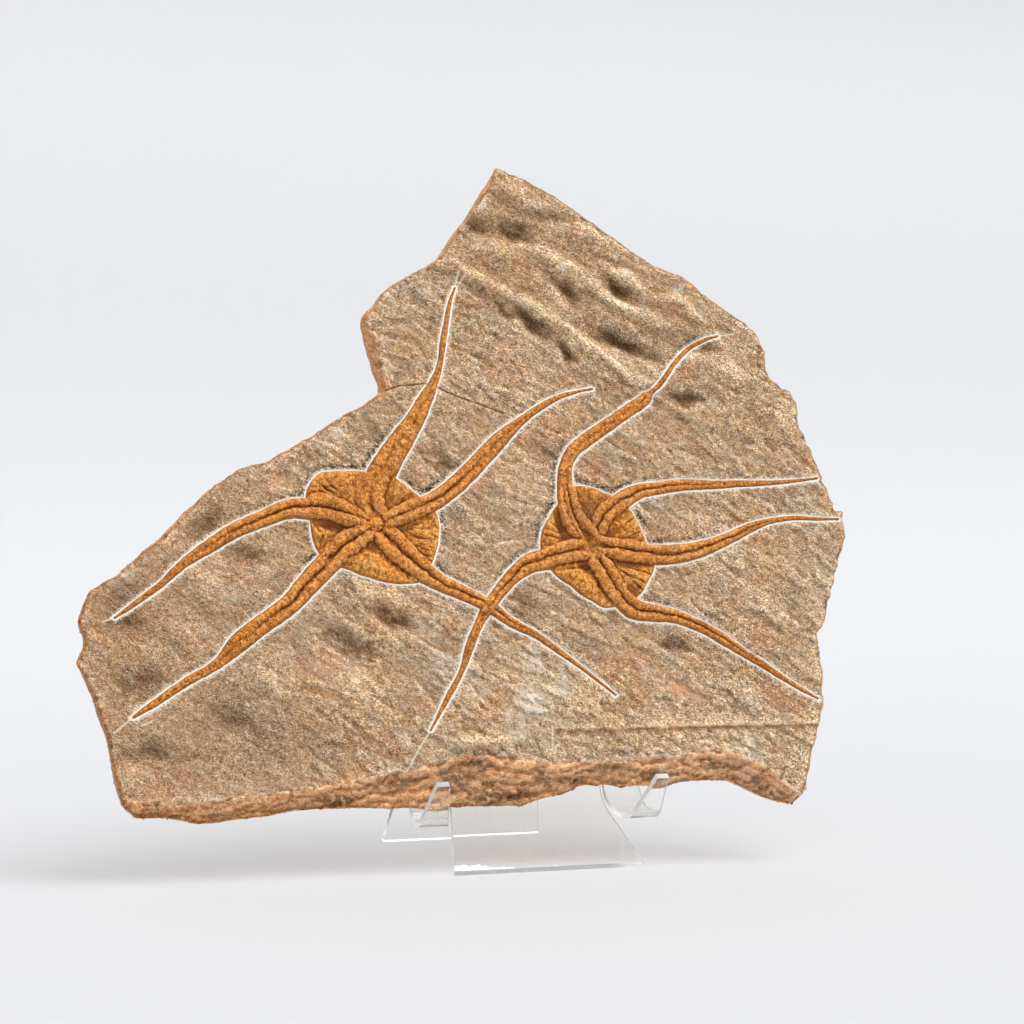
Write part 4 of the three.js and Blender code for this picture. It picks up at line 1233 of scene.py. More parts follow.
def grain_group():
    """Sand grains drawn out along the stone's grain, each with a tone and a hue of its own."""
    name = "Stone grain"
    if name in bpy.data.node_groups:
        return bpy.data.node_groups[name]
    tree = bpy.data.node_groups.new(name, "ShaderNodeTree")
    sizes = (("Length", 0.9), ("Breadth", 0.5), ("Dark", 0.5), ("Light", 0.5))
    named_inputs(tree, (("Place", "NodeSocketVector", None),
                        *((label, "NodeSocketFloat", value) for label, value in sizes)))
    for label in ("Grain", "Hue", "Dark flecks", "Light flecks", "Height"):
        tree.interface.new_socket(label, in_out="OUTPUT", socket_type="NodeSocketFloat")
    b = Board(tree)
    given, result = b.node("NodeGroupInput").outputs, b.node("NodeGroupOutput").inputs
    turned = b.mapped(given["Place"], turn=(0, GRAIN_ANGLE, 0))
    drawn = b.node("ShaderNodeCombineXYZ", {axis: b.maths("DIVIDE", 1.0, given[size]) for axis, size in
                                            (("X", "Length"), ("Y", "Breadth"), ("Z", "Breadth"))})
    spot = b.node("ShaderNodeVectorMath", {0: turned, 1: drawn.outputs[0]}, operation="MULTIPLY")
    wisps = b.noise(spot.outputs[0], 0.45, 3.0, 0.6, 0.5)
    grains = b.node("ShaderNodeTexVoronoi", {"Vector": spot.outputs[0], "Scale": 1.0}, feature="F1")
    random = b.node("ShaderNodeSeparateXYZ", {0: grains.outputs["Color"]}).outputs
    tone = b.maths("MULTIPLY_ADD", random["X"], 0.6, b.span(wisps, 0.3, 0.7, 0.0, 0.4))
    b.put(result["Grain"], tone)
    b.put(result["Hue"], random["Y"])
    b.put(result["Dark flecks"], b.product(b.span(tone, 0.26, 0.12), given["Dark"]))
    b.put(result["Light flecks"], b.product(b.span(random["Z"], 0.88, 0.96), given["Light"]))
    b.put(result["Height"], b.weighed((grains.outputs["Distance"], -0.35), (wisps, 0.9)))
    return tree


def stone_noises(b):
    """The noises and fields that the parts of the stone's finish share."""
    here = b.slab_place()
    grain = b.grain(here, 0.62, 0.40, 0.8, 0.6)
    return SimpleNamespace(
        here=here, grain=grain, hue=grain["Hue"], grains=grain["Grain"],
        across=b.node("ShaderNodeSeparateXYZ", {0: here}).outputs["X"],
        blotches=b.noise(here, 0.11, 5.0, 0.62, 0.5),
        mottles=b.streaks(here, GRAIN_DEGREES, 3.0, 1.8, 4.0, 0.65, 0.4),
        speckle=b.noise(here, 1.9, 3.0, 0.7),
        pores=b.noise(here, 1.5, 2.0, 0.7, 0.8),
        chips=b.streaks(here, GRAIN_DEGREES + 50, 1.7, 0.9, 1.0, 0.4, 0.3),
        gap=b.field("star_gap"), broken=b.field("broken"),
    )


def face_tint(b, n, settings):
    """The stone's face: golden, grey and rusty patches, grit, flecks, calcite and peach spots."""
    clouds = b.noise(n.here, 0.030, 4.0, 0.6, 0.6)
    greys = b.streaks(n.here, GRAIN_DEGREES, 14, 9, 4.0, 0.6, 0.8)
    rust = b.noise(n.here, 0.06, 5.0, 0.65, 0.8)
    lumpy = b.field("lumpy")
    # The tone field: partly painted shade on the face's hollows and painted light on its swells, partly the
    # stone's own tone.
    tone = b.jittered(b.field("tone"), n.mottles, -0.25, 0.25)
    tint = b.wash(
        settings.stone_dark,
        (n.blotches, 0.35, 0.62, 1.0, settings.stone),
        (n.mottles, 0.48, 0.74, 0.6, settings.stone_light),
        (clouds, 0.44, 0.62, 0.6, (216, 172, 114)),
        (greys, 0.48, 0.64, 0.65, (176, 154, 130)),
        (rust, 0.54, 0.64, 0.5, (208, 142, 94)),
    )
    tint = b.cover(tint, (184, 142, 96), lumpy, b.span(n.blotches, 0.3, 0.6, 0.6, 0.2))
    tint = b.wash(
        tint,
        (n.across, -50, -130, 0.4, (196, 146, 98)),
        (tone, 0.05, -0.95, 0.7, (120, 90, 64)),
        (tone, 0.1, 1.0, 0.75, (244, 208, 160)),
        (n.hue, 0.25, 0.05, 0.45, (206, 140, 84)),
        (n.hue, 0.75, 0.95, 0.45, (190, 178, 160)),
    )
    grit = b.product(b.span(n.grains, 0.1, 0.9, 0.60, 1.50), b.span(n.speckle, 0.3, 0.7, 0.60, 1.46),
                     b.span(n.mottles, 0.3, 0.7, 0.93, 1.08))
    contrast = b.span(b.noise(n.here, 0.017, 2.0), 0.42, 0.58, 0.8, 1.2)
    contrast = b.maths("MULTIPLY_ADD", lumpy, 0.25, contrast)
    contrast = b.maths("ADD", contrast, b.span(n.across, 60, 130, 0, 0.25))
    tint = b.times(tint, b.maths("POWER", grit, contrast), 0.22)
    drift = b.span(b.noise(n.here, 0.22, 3.0, 0.6, 0.4), 0.38, 0.62, 0.2, 1.0)
    tint = b.cover(tint, (92, 64, 42), n.grain["Dark flecks"], drift)
    tint = b.cover(tint, (252, 240, 222), n.grain["Light flecks"], drift)
    tint = b.wash(tint, (n.pores, 0.41, 0.33, 0.7, (92, 60, 36)))
    tint = b.cover(tint, (246, 236, 218), b.span(n.chips, 0.70, 0.76, 0, 0.75), drift)
    crust = b.maths("MULTIPLY", b.field("calcite"), b.span(n.mottles, 0.39, 0.52, smooth=True), clamp=True)
    tint = b.cover(tint, (246, 236, 220), crust, 0.95)
    return b.cover(tint, (246, 192, 146), b.field("peach"), b.span(n.mottles, 0.3, 0.55))


def edge_tint(b, n):
    """The broken edges: orange and peach seams, rough grit, brown beds, crevices and stains."""
    seams = b.streaks(n.here, 14, 5.0, 1.3, 4.0, 0.65, 0.9)
    beds = b.noise(b.mapped(n.here, scale=(0.07, 0.9, 0.07)), 1.0, 3.0, 0.6, 0.5)
    # The grit here is much brighter than on the face, more so towards the right: partly the edges' own
    # peach colour, partly painted light on these downward-facing edges.
    rough = b.product(b.span(n.grains, 0.1, 0.9, 0.62, 2.0), b.span(n.speckle, 0.3, 0.7, 0.60, 1.85),
                      b.span(n.across, -150, 120, 0.90, 1.62))
    peach = b.wash(
        colour(250, 162, 96),
        (seams, 0.40, 0.62, 1.0, (255, 204, 146)),
        (n.blotches, 0.50, 0.34, 0.6, (218, 176, 130)),
        (n.hue, 0.7, 0.95, 0.5, (216, 180, 146)),
        (n.hue, 0.3, 0.1, 0.5, (230, 132, 72)),
    )
    peach = b.wash(
        b.times(peach, b.maths("MINIMUM", rough, 1.8), 0.14),
        (rough, 2.0, 3.4, 0.5, (255, 230, 200)),
        (beds, 0.42, 0.34, 0.3, (160, 108, 70)),
        (n.pores, 0.42, 0.34, 0.8, (124, 78, 46)),
        (seams, 0.38, 0.30, 0.85, (112, 72, 44)),
        (n.chips, 0.68, 0.74, 0.8, (255, 240, 220)),
    )
    return b.cover(peach, (112, 84, 60), b.field("stain"), b.span(n.mottles, 0.34, 0.56, 0.1, 0.85))


def marked_tint(b, n, tint):
    """The dark band and the white line round each star, a painted shadow at each star's foot, the needle's
    strokes, the crack. Also the line alone.
    """
    away = b.jittered(b.jittered(n.gap, n.speckle, -0.5, 0.5), n.mottles, 0.35, -0.45)
    # The dark speckled band outside each star's white line.
    tint = b.cover(tint, (54, 47, 40), b.span(away, 4.0, 2.0), b.span(away, 0.6, 1.0), b.field("smudge"),
                   b.span(n.blotches, 0.34, 0.50), b.span(n.grains, 0.72, 0.48, 0.15, 1.0))
    tint = b.cover(tint, (255, 248, 236), b.span(away, 1.6, 1.1), b.span(n.grains, 0.35, 0.6, 0.1, 0.9))
    edge = b.jittered(n.gap, n.speckle, -0.22, 0.22)
    line = b.product(b.span(edge, 0.04, 0.16), b.span(edge, 0.84, 0.70),
                     b.span(n.mottles, 0.32, 0.42, 0.45, 1.0))
    tint = b.cover(tint, (255, 250, 234), line)
    # Painted shadow: a dark line at each star's foot, darker on its lower side.
    shade = b.span(b.field("star_rise"), 0.6, -0.2, 0.35, 1.0)
    tint = b.cover(tint, (112, 84, 60), b.span(n.gap, 0.15, 0.0), shade, 0.5)
    tint = b.wash(
        tint,
        (b.jittered(b.field("needle"), n.speckle, -0.3, 0.3), 0.5, 0.2, 0.8, (246, 236, 218)),
        (b.field("crack"), 0.45, 0.1, 0.75, (84, 58, 44)),
    )
    return tint, line


def stone_finish(settings):
    """Sandstone: golden and grey tan grit, pale crusts, peach broken edges and the maker's white line."""
    material, b = new_finish("sandstone")
    n = stone_noises(b)
    tint = b.blend(n.broken, face_tint(b, n, settings), edge_tint(b, n))
    # Painted shade in the hollows and painted light on the rises, from the fine and wide fields, weaker on
    # the broken edges.
    hollow = b.product(b.span(b.field("wide"), -1.6, 0.3, 0.56, 1.06),
                       b.span(b.field("fine"), -0.28, 0.24, 0.56, 1.24))
    hollow = b.maths("POWER", hollow, b.span(n.broken, 0, 1, 1.0, 0.5))
    tint, line = marked_tint(b, n, b.times(tint, hollow, 0.22))

    relief = b.weighed((n.grain["Height"], 0.8), (n.speckle, 1.1), (n.mottles, 0.8))
    relief = b.product(relief, b.span(n.broken, 0, 1, 1.0, 2.3), b.span(line, 0, 1, 1.0, 0.35))
    bump = b.node("ShaderNodeBump", {"Height": relief, "Strength": 1.0, "Distance": 0.0010})
    outward = b.node("ShaderNodeVectorTransform", {"Vector": tuple(-SLAB_IN)}, vector_type="NORMAL",
                     convert_from="OBJECT", convert_to="WORLD")
    level = b.node("ShaderNodeMix", {0: b.product(line, 0.8), 4: bump.outputs[0], 5: outward.outputs[0]},
                   data_type="VECTOR")
    b.finish({
        "Base Color": tint, "Roughness": b.span(n.speckle, 0.2, 0.8, 0.95, 0.8), "Normal": level.outputs[1],
        "IOR": 1.45, "Specular IOR Level": 0.25,
    })
    return material


def fossil_finish(settings):
    """The stars' ochre, with painted light on the crests and painted shade in the grooves, the pockets and
    the pits.
    """
    material, b = new_finish("fossil_ochre")
    here = b.slab_place()
    grain = b.grain(here, 0.5, 0.38, 0.6, 0.15)
    blotches = b.noise(here, 0.16, 4.0, 0.6, 0.4)
    mottles = b.noise(here, 0.55, 4.0, 0.65, 0.3)
    speckle = b.noise(here, 1.9, 3.0, 0.7)
    clouds = b.noise(here, 0.09, 3.0, 0.6, 0.4)
    pores = b.noise(here, 1.25, 2.0, 0.6, 0.6)
    tint = b.wash(
        settings.fossil_dark,
        (blotches, 0.35, 0.62, 1.0, settings.fossil),
        (mottles, 0.42, 0.70, 0.45, settings.fossil_light),
        (grain["Hue"], 0.3, 0.05, 0.4, (206, 116, 44)),
        (grain["Hue"], 0.72, 0.95, 0.15, (232, 186, 112)),
        (clouds, 0.52, 0.64, 0.35, (218, 164, 106)),
    )
    # Grain and speckle, times painted shade in the hollows and grooves and painted light on the crests from
    # the fine and wide fields, and darker towards the arms' tips.
    lit = b.product(
        b.span(grain["Grain"], 0.1, 0.9, 0.66, 1.38), b.span(speckle, 0.3, 0.7, 0.64, 1.40),
        b.span(b.field("fine"), -0.32, 0.30, 0.28, 1.34), b.span(b.field("wide"), -1.3, 0.7, 0.46, 1.26),
        b.span(b.field("groove"), 0.3, 1.0, 1.0, 0.8), b.span(b.field("share"), 0.1, 0.7, 1.06, 0.82),
    )
    tint = b.cover(tint, (218, 132, 60), b.field("crest"), 0.3)
    tint = b.cover(tint, (246, 172, 70), b.field("sector"), 0.22)
    tint = b.times(tint, b.maths("MINIMUM", lit, 1.45), 0.38)
    # Painted shade in the disc's pockets.
    dug = b.product(b.field("dug"), b.span(mottles, 0.3, 0.6, 1.1, 0.7))
    # Where lit is brightest it turns pale cream: a painted highlight.
    tint = b.wash(tint, (lit, 1.3, 2.4, 0.55, (250, 200, 150)), (dug, 0.45, 1.4, 0.95, (70, 34, 10)))
    tint = b.cover(tint, (140, 80, 32), b.field("brown"), b.span(mottles, 0.3, 0.6, 0.9, 0.5))
    tint = b.cover(tint, (104, 50, 16), grain["Dark flecks"])
    tint = b.wash(tint, (pores, 0.41, 0.34, 0.75, (112, 54, 16)))
    tint = b.cover(tint, (252, 214, 144), grain["Light flecks"])
    # Painted shade in the pits.
    tint = b.wash(tint, (b.field("pits"), 0.2, 1.0, 0.75, (88, 42, 14)))
    white = b.maths("MULTIPLY", b.field("powder"), b.span(mottles, 0.56, 0.64, smooth=True), clamp=True)
    relief = b.weighed((grain["Height"], 0.5), (speckle, 0.9), (mottles, 0.6))
    bump = b.node("ShaderNodeBump", {"Height": relief, "Strength": 1.0, "Distance": 0.0011})
    b.finish({
        "Base Color": b.cover(tint, (250, 240, 226), white), "Normal": bump.outputs[0],
        "Roughness": b.span(mottles, 0.3, 0.7, 0.68, 0.46), "IOR": 1.5, "Specular IOR Level": 0.32,
    })
    return material


def acrylic_finish(name, frost, clear):
    """Clear acrylic with a trace of handling marks, or milky where it was sawn."""
    material, b = new_finish(name)
    here = b.node("ShaderNodeTexCoord").outputs["Object"]
    marks, ripples = b.noise(here, 60.0, 4.0, 0.6, 1.0), b.noise(here, 35.0, 1.0)
    bump = b.node("ShaderNodeBump", {"Height": ripples, "Strength": 0.06, "Distance": 0.0005})
    b.finish({
        "Base Color": colour(252, 252, 250), "Roughness": b.span(marks, 0.55, 0.8, frost, frost + 0.04),
        "IOR": 1.49, "Transmission Weight": clear, "Normal": bump.outputs[0],
    })
    return material


# ---- scales and grit

def growth_tree(name, sizes):
    """An empty Geometry Nodes tree with a mesh, a material and some named sizes going in."""
    tree = bpy.data.node_groups.new(name, "GeometryNodeTree")
    named_inputs(tree, (("Geometry", "NodeSocketGeometry", None), *sizes,
                        ("Finish", "NodeSocketMaterial", None)))
    tree.interface.new_socket("Geometry", in_out="OUTPUT", socket_type="NodeSocketGeometry")
    b = Board(tree)
    return tree, b, b.node("NodeGroupInput").outputs, b.node("NodeGroupOutput").inputs["Geometry"]


def random_values(b, kind, low, high, seed):
    """A Random Value node's output, with a fixed seed."""
    made = b.node("FunctionNodeRandomValue", data_type=kind)
    ends = {"FLOAT": (2, 3, 1), "FLOAT_VECTOR": (0, 1, 0)}[kind]
    b.put(made.inputs[ends[0]], low)
    b.put(made.inputs[ends[1]], high)
    made.inputs["Seed"].default_value = seed
    return made.outputs[ends[2]]


def scale_tree():
    """Small oval scales set along lines, each turned to its line and lying flat on the stone."""
    tree, b, given, result = growth_tree("Arm scales", (
        ("Pitch", "NodeSocketFloat", 0.0011), ("Rise", "NodeSocketFloat", 0.00035),
        ("Kept", "NodeSocketFloat", 0.5), ("Outward", "NodeSocketVector", (0, -1, 0))))
    curve = b.node("GeometryNodeMeshToCurve", {"Mesh": given["Geometry"]})
    evenly = b.node("GeometryNodeResampleCurve", {"Curve": curve.outputs[0], "Length": given["Pitch"]},
                    mode="LENGTH")
    points = b.node("GeometryNodeCurveToPoints", {"Curve": evenly.outputs[0]}, mode="EVALUATED")
    breadth = b.node("GeometryNodeInputNamedAttribute", {"Name": "breadth"}, data_type="FLOAT").outputs[0]
    size = b.maths("MULTIPLY", breadth, random_values(b, "FLOAT", 0.55, 1.0, 3))
    shape = b.node("ShaderNodeCombineXYZ", {
        "X": b.maths("MULTIPLY", given["Pitch"], random_values(b, "FLOAT", 0.35, 0.62, 4)),
        "Y": size, "Z": b.maths("MULTIPLY", given["Rise"], random_values(b, "FLOAT", 0.5, 1.1, 5)),
    }).outputs[0]
    turned = b.node("FunctionNodeAxesToRotation", {0: given["Outward"], 1: points.outputs["Tangent"]},
                    primary_axis="Z", secondary_axis="X")
    scale = b.node("GeometryNodeMeshIcoSphere", {"Radius": 1.0, "Subdivisions": 2})
    kept = b.node("FunctionNodeRandomValue", data_type="BOOLEAN")
    b.put(kept.inputs["Probability"], given["Kept"])
    kept.inputs["Seed"].default_value = 6
    placed = b.node("GeometryNodeInstanceOnPoints", {
        "Points": points.outputs["Points"], "Selection": kept.outputs[3], "Instance": scale.outputs["Mesh"],
        "Rotation": turned.outputs[0], "Scale": shape,
    })
    real = b.node("GeometryNodeRealizeInstances", {0: placed.outputs[0]})
    smooth = b.node("GeometryNodeSetShadeSmooth", {0: real.outputs[0]})
    done = b.node("GeometryNodeSetMaterial", {"Geometry": smooth.outputs[0], "Material": given["Finish"]})
    b.put(result, done.outputs[0])
    return tree


def grit_tree():
    """Loose sand grains scattered over the broken stone."""
    tree, b, given, result = growth_tree("Sand grit", (
        ("Density", "NodeSocketFloat", 120000.0), ("Smallest", "NodeSocketFloat", 0.00018),
        ("Largest", "NodeSocketFloat", 0.0005)))
    broken = b.node("GeometryNodeInputNamedAttribute", {"Name": "broken"}, data_type="FLOAT").outputs[0]
    density = b.maths("MULTIPLY", given["Density"], b.span(broken, 0.3, 0.9))
    points = b.node("GeometryNodeDistributePointsOnFaces", {"Mesh": given["Geometry"], "Density": density,
                                                            "Seed": 11})
    grain = b.node("GeometryNodeMeshIcoSphere", {"Radius": 1.0, "Subdivisions": 1})
    size = random_values(b, "FLOAT", given["Smallest"], given["Largest"], 12)
    sides = random_values(b, "FLOAT_VECTOR", (0.8, 0.7, 0.6), (1.4, 1.1, 1.0), 13)
    shape = b.node("ShaderNodeVectorMath", {0: sides, "Scale": size}, operation="SCALE").outputs[0]
    turn = random_values(b, "FLOAT_VECTOR", (0, 0, 0), (6.283, 6.283, 6.283), 14)
    placed = b.node("GeometryNodeInstanceOnPoints", {
        "Points": points.outputs["Points"], "Instance": grain.outputs["Mesh"], "Rotation": turn,
        "Scale": shape,
    })
    made = b.node("GeometryNodeRealizeInstances", {0: placed.outputs[0]}).outputs[0]
    for field, value in (("broken", 1.0), ("star_gap", FAR), ("needle", FAR), ("crack", FAR)):
        made = b.node("GeometryNodeStoreNamedAttribute", {"Geometry": made, "Name": field, "Value": value},
                      data_type="FLOAT", domain="POINT").outputs[0]
    done = b.node("GeometryNodeSetMaterial", {"Geometry": made, "Material": given["Finish"]})
    b.put(result, done.outputs[0])
    return tree


def grown(name, tree, source, sizes):
    """The plain mesh piece that a Geometry Nodes tree makes from a mesh."""
    piece = added(name, source)
    modifier = piece.modifiers.new("growth", "NODES")
    modifier.node_group = tree
    for socket in tree.interface.items_tree:
        if socket.item_type == "SOCKET" and socket.in_out == "INPUT" and socket.name in sizes:
            modifier[socket.identifier] = sizes[socket.name]
    if not settled(piece).polygons:
        raise RuntimeError(f"{name} came out empty")
    return piece


def build_scales(star, settings, finish):
    """The worn scales along the ridges of a star's disc and arms."""
    paths = []
    for points in star.plan["ridges"]:
        line = smooth_line(points, LINE_STEP)[0]
        paths.append((line[:, :2], line[:, 2], True))
    for arm in star.arms:
        kept = arm.run < 0.93 * arm.length
        for side, half in ((1, arm.half_left), (-1, arm.half_right)):
            line = (arm.line[:, :2] + 0.5 * side * arm.left * half[:, None])[kept]
            paths.append((line, 0.5 * half[kept], False))
    places, edges, breadths = [], [], []
    total = 0
    for line, breadth, on_disc in paths:
        out = star.disc_gap(*line.T)
        kept = out < -1.5 if on_disc else out > 2.5
        count = kept.sum()
        places.append(line[kept])
        breadths.append(0.75 * breadth[kept])
        edges.append(np.column_stack([np.arange(count - 1), np.arange(1, count)]) + total)
        total += count
    x, w = np.vstack(places).T
    height = star_relief(star, x, w, settings)[0] + bed(x, w) - 0.12
    mesh = bpy.data.meshes.new(f"{star.name}_crests")
    mesh.from_pydata(place(x, w, -height).tolist(), np.vstack(edges).tolist(), [])
    breadth = mesh.attributes.new("breadth", "FLOAT", "POINT")
    breadth.data.foreach_set("value", np.concatenate(breadths).astype(np.float32) * MM)
    return grown(f"{star.name}_scales", scale_tree(), mesh, {
        "Pitch": settings.scale_pitch, "Rise": settings.scale_rise, "Outward": tuple(-SLAB_IN),
        "Finish": finish,
    })


# ---- the easel

# Places from the side, y to the back and z up, with half the width there, in millimetres.
EASEL_FOOT = (0.8, 0.96, 39.5)
EASEL_ROOT = (27, 22.5, 49)
EASEL_APEX = (54.8, 126.4, 27)
EASEL_KNEE = (95, 32, 29.5)
EASEL_BACK = (108.8, 0.5, 35)
EASEL_TAB_SIDE = 32
EASEL_HOOK_SIDE = 33.5
EASEL_SLOT_TOP = 30
EASEL_HOOK_BOTTOM = (12.3, 17.2, 38, 50.5)
EASEL_HOOK_TIP = (-4, 36, 43, 48)
EASEL_AT = (24, -51.9)
EASEL_TURN = math.radians(5)


def bent_path(corners, bend, steps):
    """Places along a path whose inner corners are bent round. Every number of a corner is carried along."""
    corners = [np.array(c, float) for c in corners]
    path = [corners[0]]
    straight = bend + 0.8

    def towards(corner, other, distance):
        return corner + (other - corner) * distance / np.hypot(*(other - corner)[:2])
    for before, corner, after in zip(corners, corners[1:], corners[2:]):
        start, end = towards(corner, before, bend), towards(corner, after, bend)
        if np.hypot(*(before - corner)[:2]) > 2 * straight:
            path.append(towards(corner, before, straight))
        for t in np.linspace(0, 1, steps):
            path.append((1 - t) ** 2 * start + 2 * t * (1 - t) * corner + t * t * end)
        if np.hypot(*(after - corner)[:2]) > 2 * straight:
            path.append(towards(corner, after, straight))
    return np.array(path + [corners[-1]])


def build_easel(settings, finish, sawn):
    """The easel: one sheet bent into a rest, a back leg, a front tab and two hooks."""
    bend, steps = settings.bend_length / MM, settings.bend_steps
    slope = (EASEL_SLOT_TOP - EASEL_ROOT[1]) / (EASEL_APEX[1] - EASEL_ROOT[1])
    slot_y = EASEL_ROOT[0] + slope * (EASEL_APEX[0] - EASEL_ROOT[0])
    made = bmesh.new()

    def row(y, z, columns):
        return [made.verts.new((x * MM, y * MM, z * MM)) for x in columns]

    def strip(rows):
        for upper, lower in zip(rows, rows[1:]):
            for k in range(len(upper) - 1):
                made.faces.new((upper[k], upper[k + 1], lower[k + 1], lower[k]))

    edge, top = EASEL_ROOT[2], (slot_y, EASEL_SLOT_TOP)
    slot = row(*top, (-edge, -EASEL_HOOK_SIDE, -EASEL_TAB_SIDE, EASEL_TAB_SIDE, EASEL_HOOK_SIDE, edge))
    rest = bent_path([(*top, edge), EASEL_APEX, EASEL_KNEE, EASEL_BACK], bend, steps)
    rows = [slot]
    for y, z, half in rest[1:]:
        inner = [s * min(EASEL_HOOK_SIDE, half * 0.7) for s in (-1, 1)]
        closer = [s * min(EASEL_TAB_SIDE, half * 0.66) for s in (-1, 1)]
        rows.append(row(y, z, (-half, inner[0], closer[0], closer[1], inner[1], half)))
    strip(rows)
    tab = [(*top, EASEL_TAB_SIDE), (*EASEL_ROOT[:2], EASEL_TAB_SIDE), EASEL_FOOT]
    tab = bent_path(tab, bend, steps)
    strip([slot[2:4]] + [row(y, z, (-half, half)) for y, z, half in tab[1:]])
    hook = [(*corner, EASEL_HOOK_SIDE, edge) for corner in (top, EASEL_ROOT[:2])]
    hook = bent_path([*hook, EASEL_HOOK_BOTTOM, EASEL_HOOK_TIP], bend, steps)
    strip([slot[0:2]] + [row(y, z, (-outer, -inner)) for y, z, inner, outer in hook[1:]])
    strip([slot[4:6]] + [row(y, z, (inner, outer)) for y, z, inner, outer in hook[1:]])
    bmesh.ops.recalc_face_normals(made, faces=made.faces)
    bmesh.ops.transform(made, verts=made.verts,
                        matrix=Matrix.Translation((EASEL_AT[0] * MM, EASEL_AT[1] * MM, 0))
                        @ Matrix.Rotation(EASEL_TURN, 4, "Z"))
    mesh = bpy.data.meshes.new("acrylic_easel")
    made.to_mesh(mesh)
    made.free()
    piece = added("acrylic_easel", mesh)
    mesh.materials.append(finish)
    mesh.materials.append(sawn)
    solid = piece.modifiers.new("sheet", "SOLIDIFY")
    solid.thickness, solid.offset, solid.use_even_offset = settings.sheet, 0, True
    solid.material_offset_rim = 1
    bevel = piece.modifiers.new("polished edge", "BEVEL")
    bevel.width, bevel.segments, bevel.angle_limit = settings.edge_round, 3, math.radians(40)
    bevel.limit_method = "ANGLE"
    baked = settled(piece)
    for v in baked.vertices:
        v.co.z = max(v.co.z, 0)
    baked.shade_smooth()
    baked.set_sharp_from_angle(angle=math.radians(35))
    flatter = piece.modifiers.new("flat faces stay flat", "WEIGHTED_NORMAL")
    flatter.weight, flatter.keep_sharp = 100, True
    settled(piece)
    piece.visible_shadow = False
    piece.visible_diffuse = False
    return piece


# ---- settings

# What the lengths and the colours share.
FINE = {"unit": "LENGTH", "precision": 5}
SWATCH = {"size": 4, "min": 0, "max": 1}


class FossilSlabSettings(PropertyGroup):
    """Sizes and colours of the stone."""
    thickness: FloatProperty(
        name="Thickness", description="Thickness of the slab", default=0.021, unit="LENGTH")
    mesh_step: FloatProperty(
        name="Mesh step", description="Spacing of the face's points", default=0.00092, **FINE)
    bevel_depth: FloatProperty(
        name="Broken edge", description="How deep the lower edge is broken back", default=0.006,
        unit="LENGTH")
    trench_depth: FloatProperty(
        name="Trench", description="Depth of the cut round each star", default=0.0004, **FINE)
    roughness: FloatProperty(
        name="Roughness", description="Strength of the face's ripples and flakes", default=1.0, min=0.0)
    grit_density: FloatProperty(
        name="Grit", description="Loose grains on each square metre of broken stone", default=200000.0)
    stone: FloatVectorProperty(
        name="Stone", description="Main colour", subtype="COLOR", default=colour(222, 188, 150), **SWATCH)
    stone_dark: FloatVectorProperty(
        name="Dark stone", description="Colour of the darker patches", subtype="COLOR",
        default=colour(192, 156, 120), **SWATCH)
    stone_light: FloatVectorProperty(
        name="Light stone", description="Colour of the lighter patches", subtype="COLOR",
        default=colour(236, 206, 172), **SWATCH)


class FossilStarSettings(PropertyGroup):
    """Sizes and colours of the fossils."""
    mesh_step: FloatProperty(
        name="Mesh step", description="Spacing of the relief's points", default=0.00042, **FINE)
    arm_height: FloatProperty(
        name="Arm height", description="Scale of the arms' relief", default=1.0, min=0.1)
    groove: FloatProperty(
        name="Groove", description="How deep the groove along each arm is cut, as a share", default=0.6,
        min=0.0, max=1.0)
    bed_depth: FloatProperty(
        name="Bed", description="How deep each fossil is bedded", default=0.0012, **FINE)
    crossing_lift: FloatProperty(
        name="Crossing", description="How much the upper arm rises over the lower one", default=0.0011,
        **FINE)
    scale_pitch: FloatProperty(
        name="Scale pitch", description="Spacing of the scales along the arms", default=0.0018, **FINE)
    scale_rise: FloatProperty(name="Scale rise", description="Height of the scales", default=0.0002, **FINE)
    fossil: FloatVectorProperty(
        name="Ochre", description="Main colour", subtype="COLOR", default=colour(238, 152, 62), **SWATCH)
    fossil_dark: FloatVectorProperty(
        name="Dark ochre", description="Colour of the darker patches", subtype="COLOR",
        default=colour(206, 122, 46), **SWATCH)
    fossil_light: FloatVectorProperty(
        name="Light ochre", description="Colour of the lighter patches", subtype="COLOR",
        default=colour(252, 192, 100), **SWATCH)


class FossilEaselSettings(PropertyGroup):
    """Sizes of the easel."""
    sheet: FloatProperty(
        name="Sheet", description="Thickness of the acrylic", default=0.0025, unit="LENGTH", precision=4)
    bend_length: FloatProperty(
        name="Bend", description="Where a bend starts before its corner", default=0.007, unit="LENGTH",
        precision=4)
    bend_steps: IntProperty(name="Bend steps", description="Rows in each bend", default=13, min=3)
    edge_round: FloatProperty(
        name="Edge", description="Rounding of the polished edges", default=0.0003, **FINE)


class FossilStageSettings(PropertyGroup):
    """The camera, the lights and the floor."""
    camera: FloatVectorProperty(
        name="Camera", description="Where the camera stands", subtype="TRANSLATION", unit="LENGTH",
        default=(-0.2494, -1.0139, 0.1399))
    azimuth: FloatProperty(
        name="Azimuth", description="Which way the camera looks", subtype="ANGLE",
        default=math.radians(-15))
    lens: FloatProperty(
        name="Lens", description="Focal length on a 36 mm sensor, in millimetres", default=90.35)
    overhead: FloatProperty(
        name="Overhead light", description="Strength of the even light from above", default=2.25)
    top_light: FloatProperty(name="Top light", description="Strength of the overhead softbox", default=1.36)
    fill_light: FloatProperty(
        name="Fill light", description="Strength of the light from the front", default=1.0)
    sky: FloatProperty(name="Room light", description="Strength of the room's even light", default=0.45)
    surround: FloatProperty(
        name="Surround", description="How bright the room looks in the acrylic", default=0.82)
    backdrop: FloatProperty(
        name="Backdrop", description="How much the backdrop is lit from behind", default=0.22)


# ---- operators

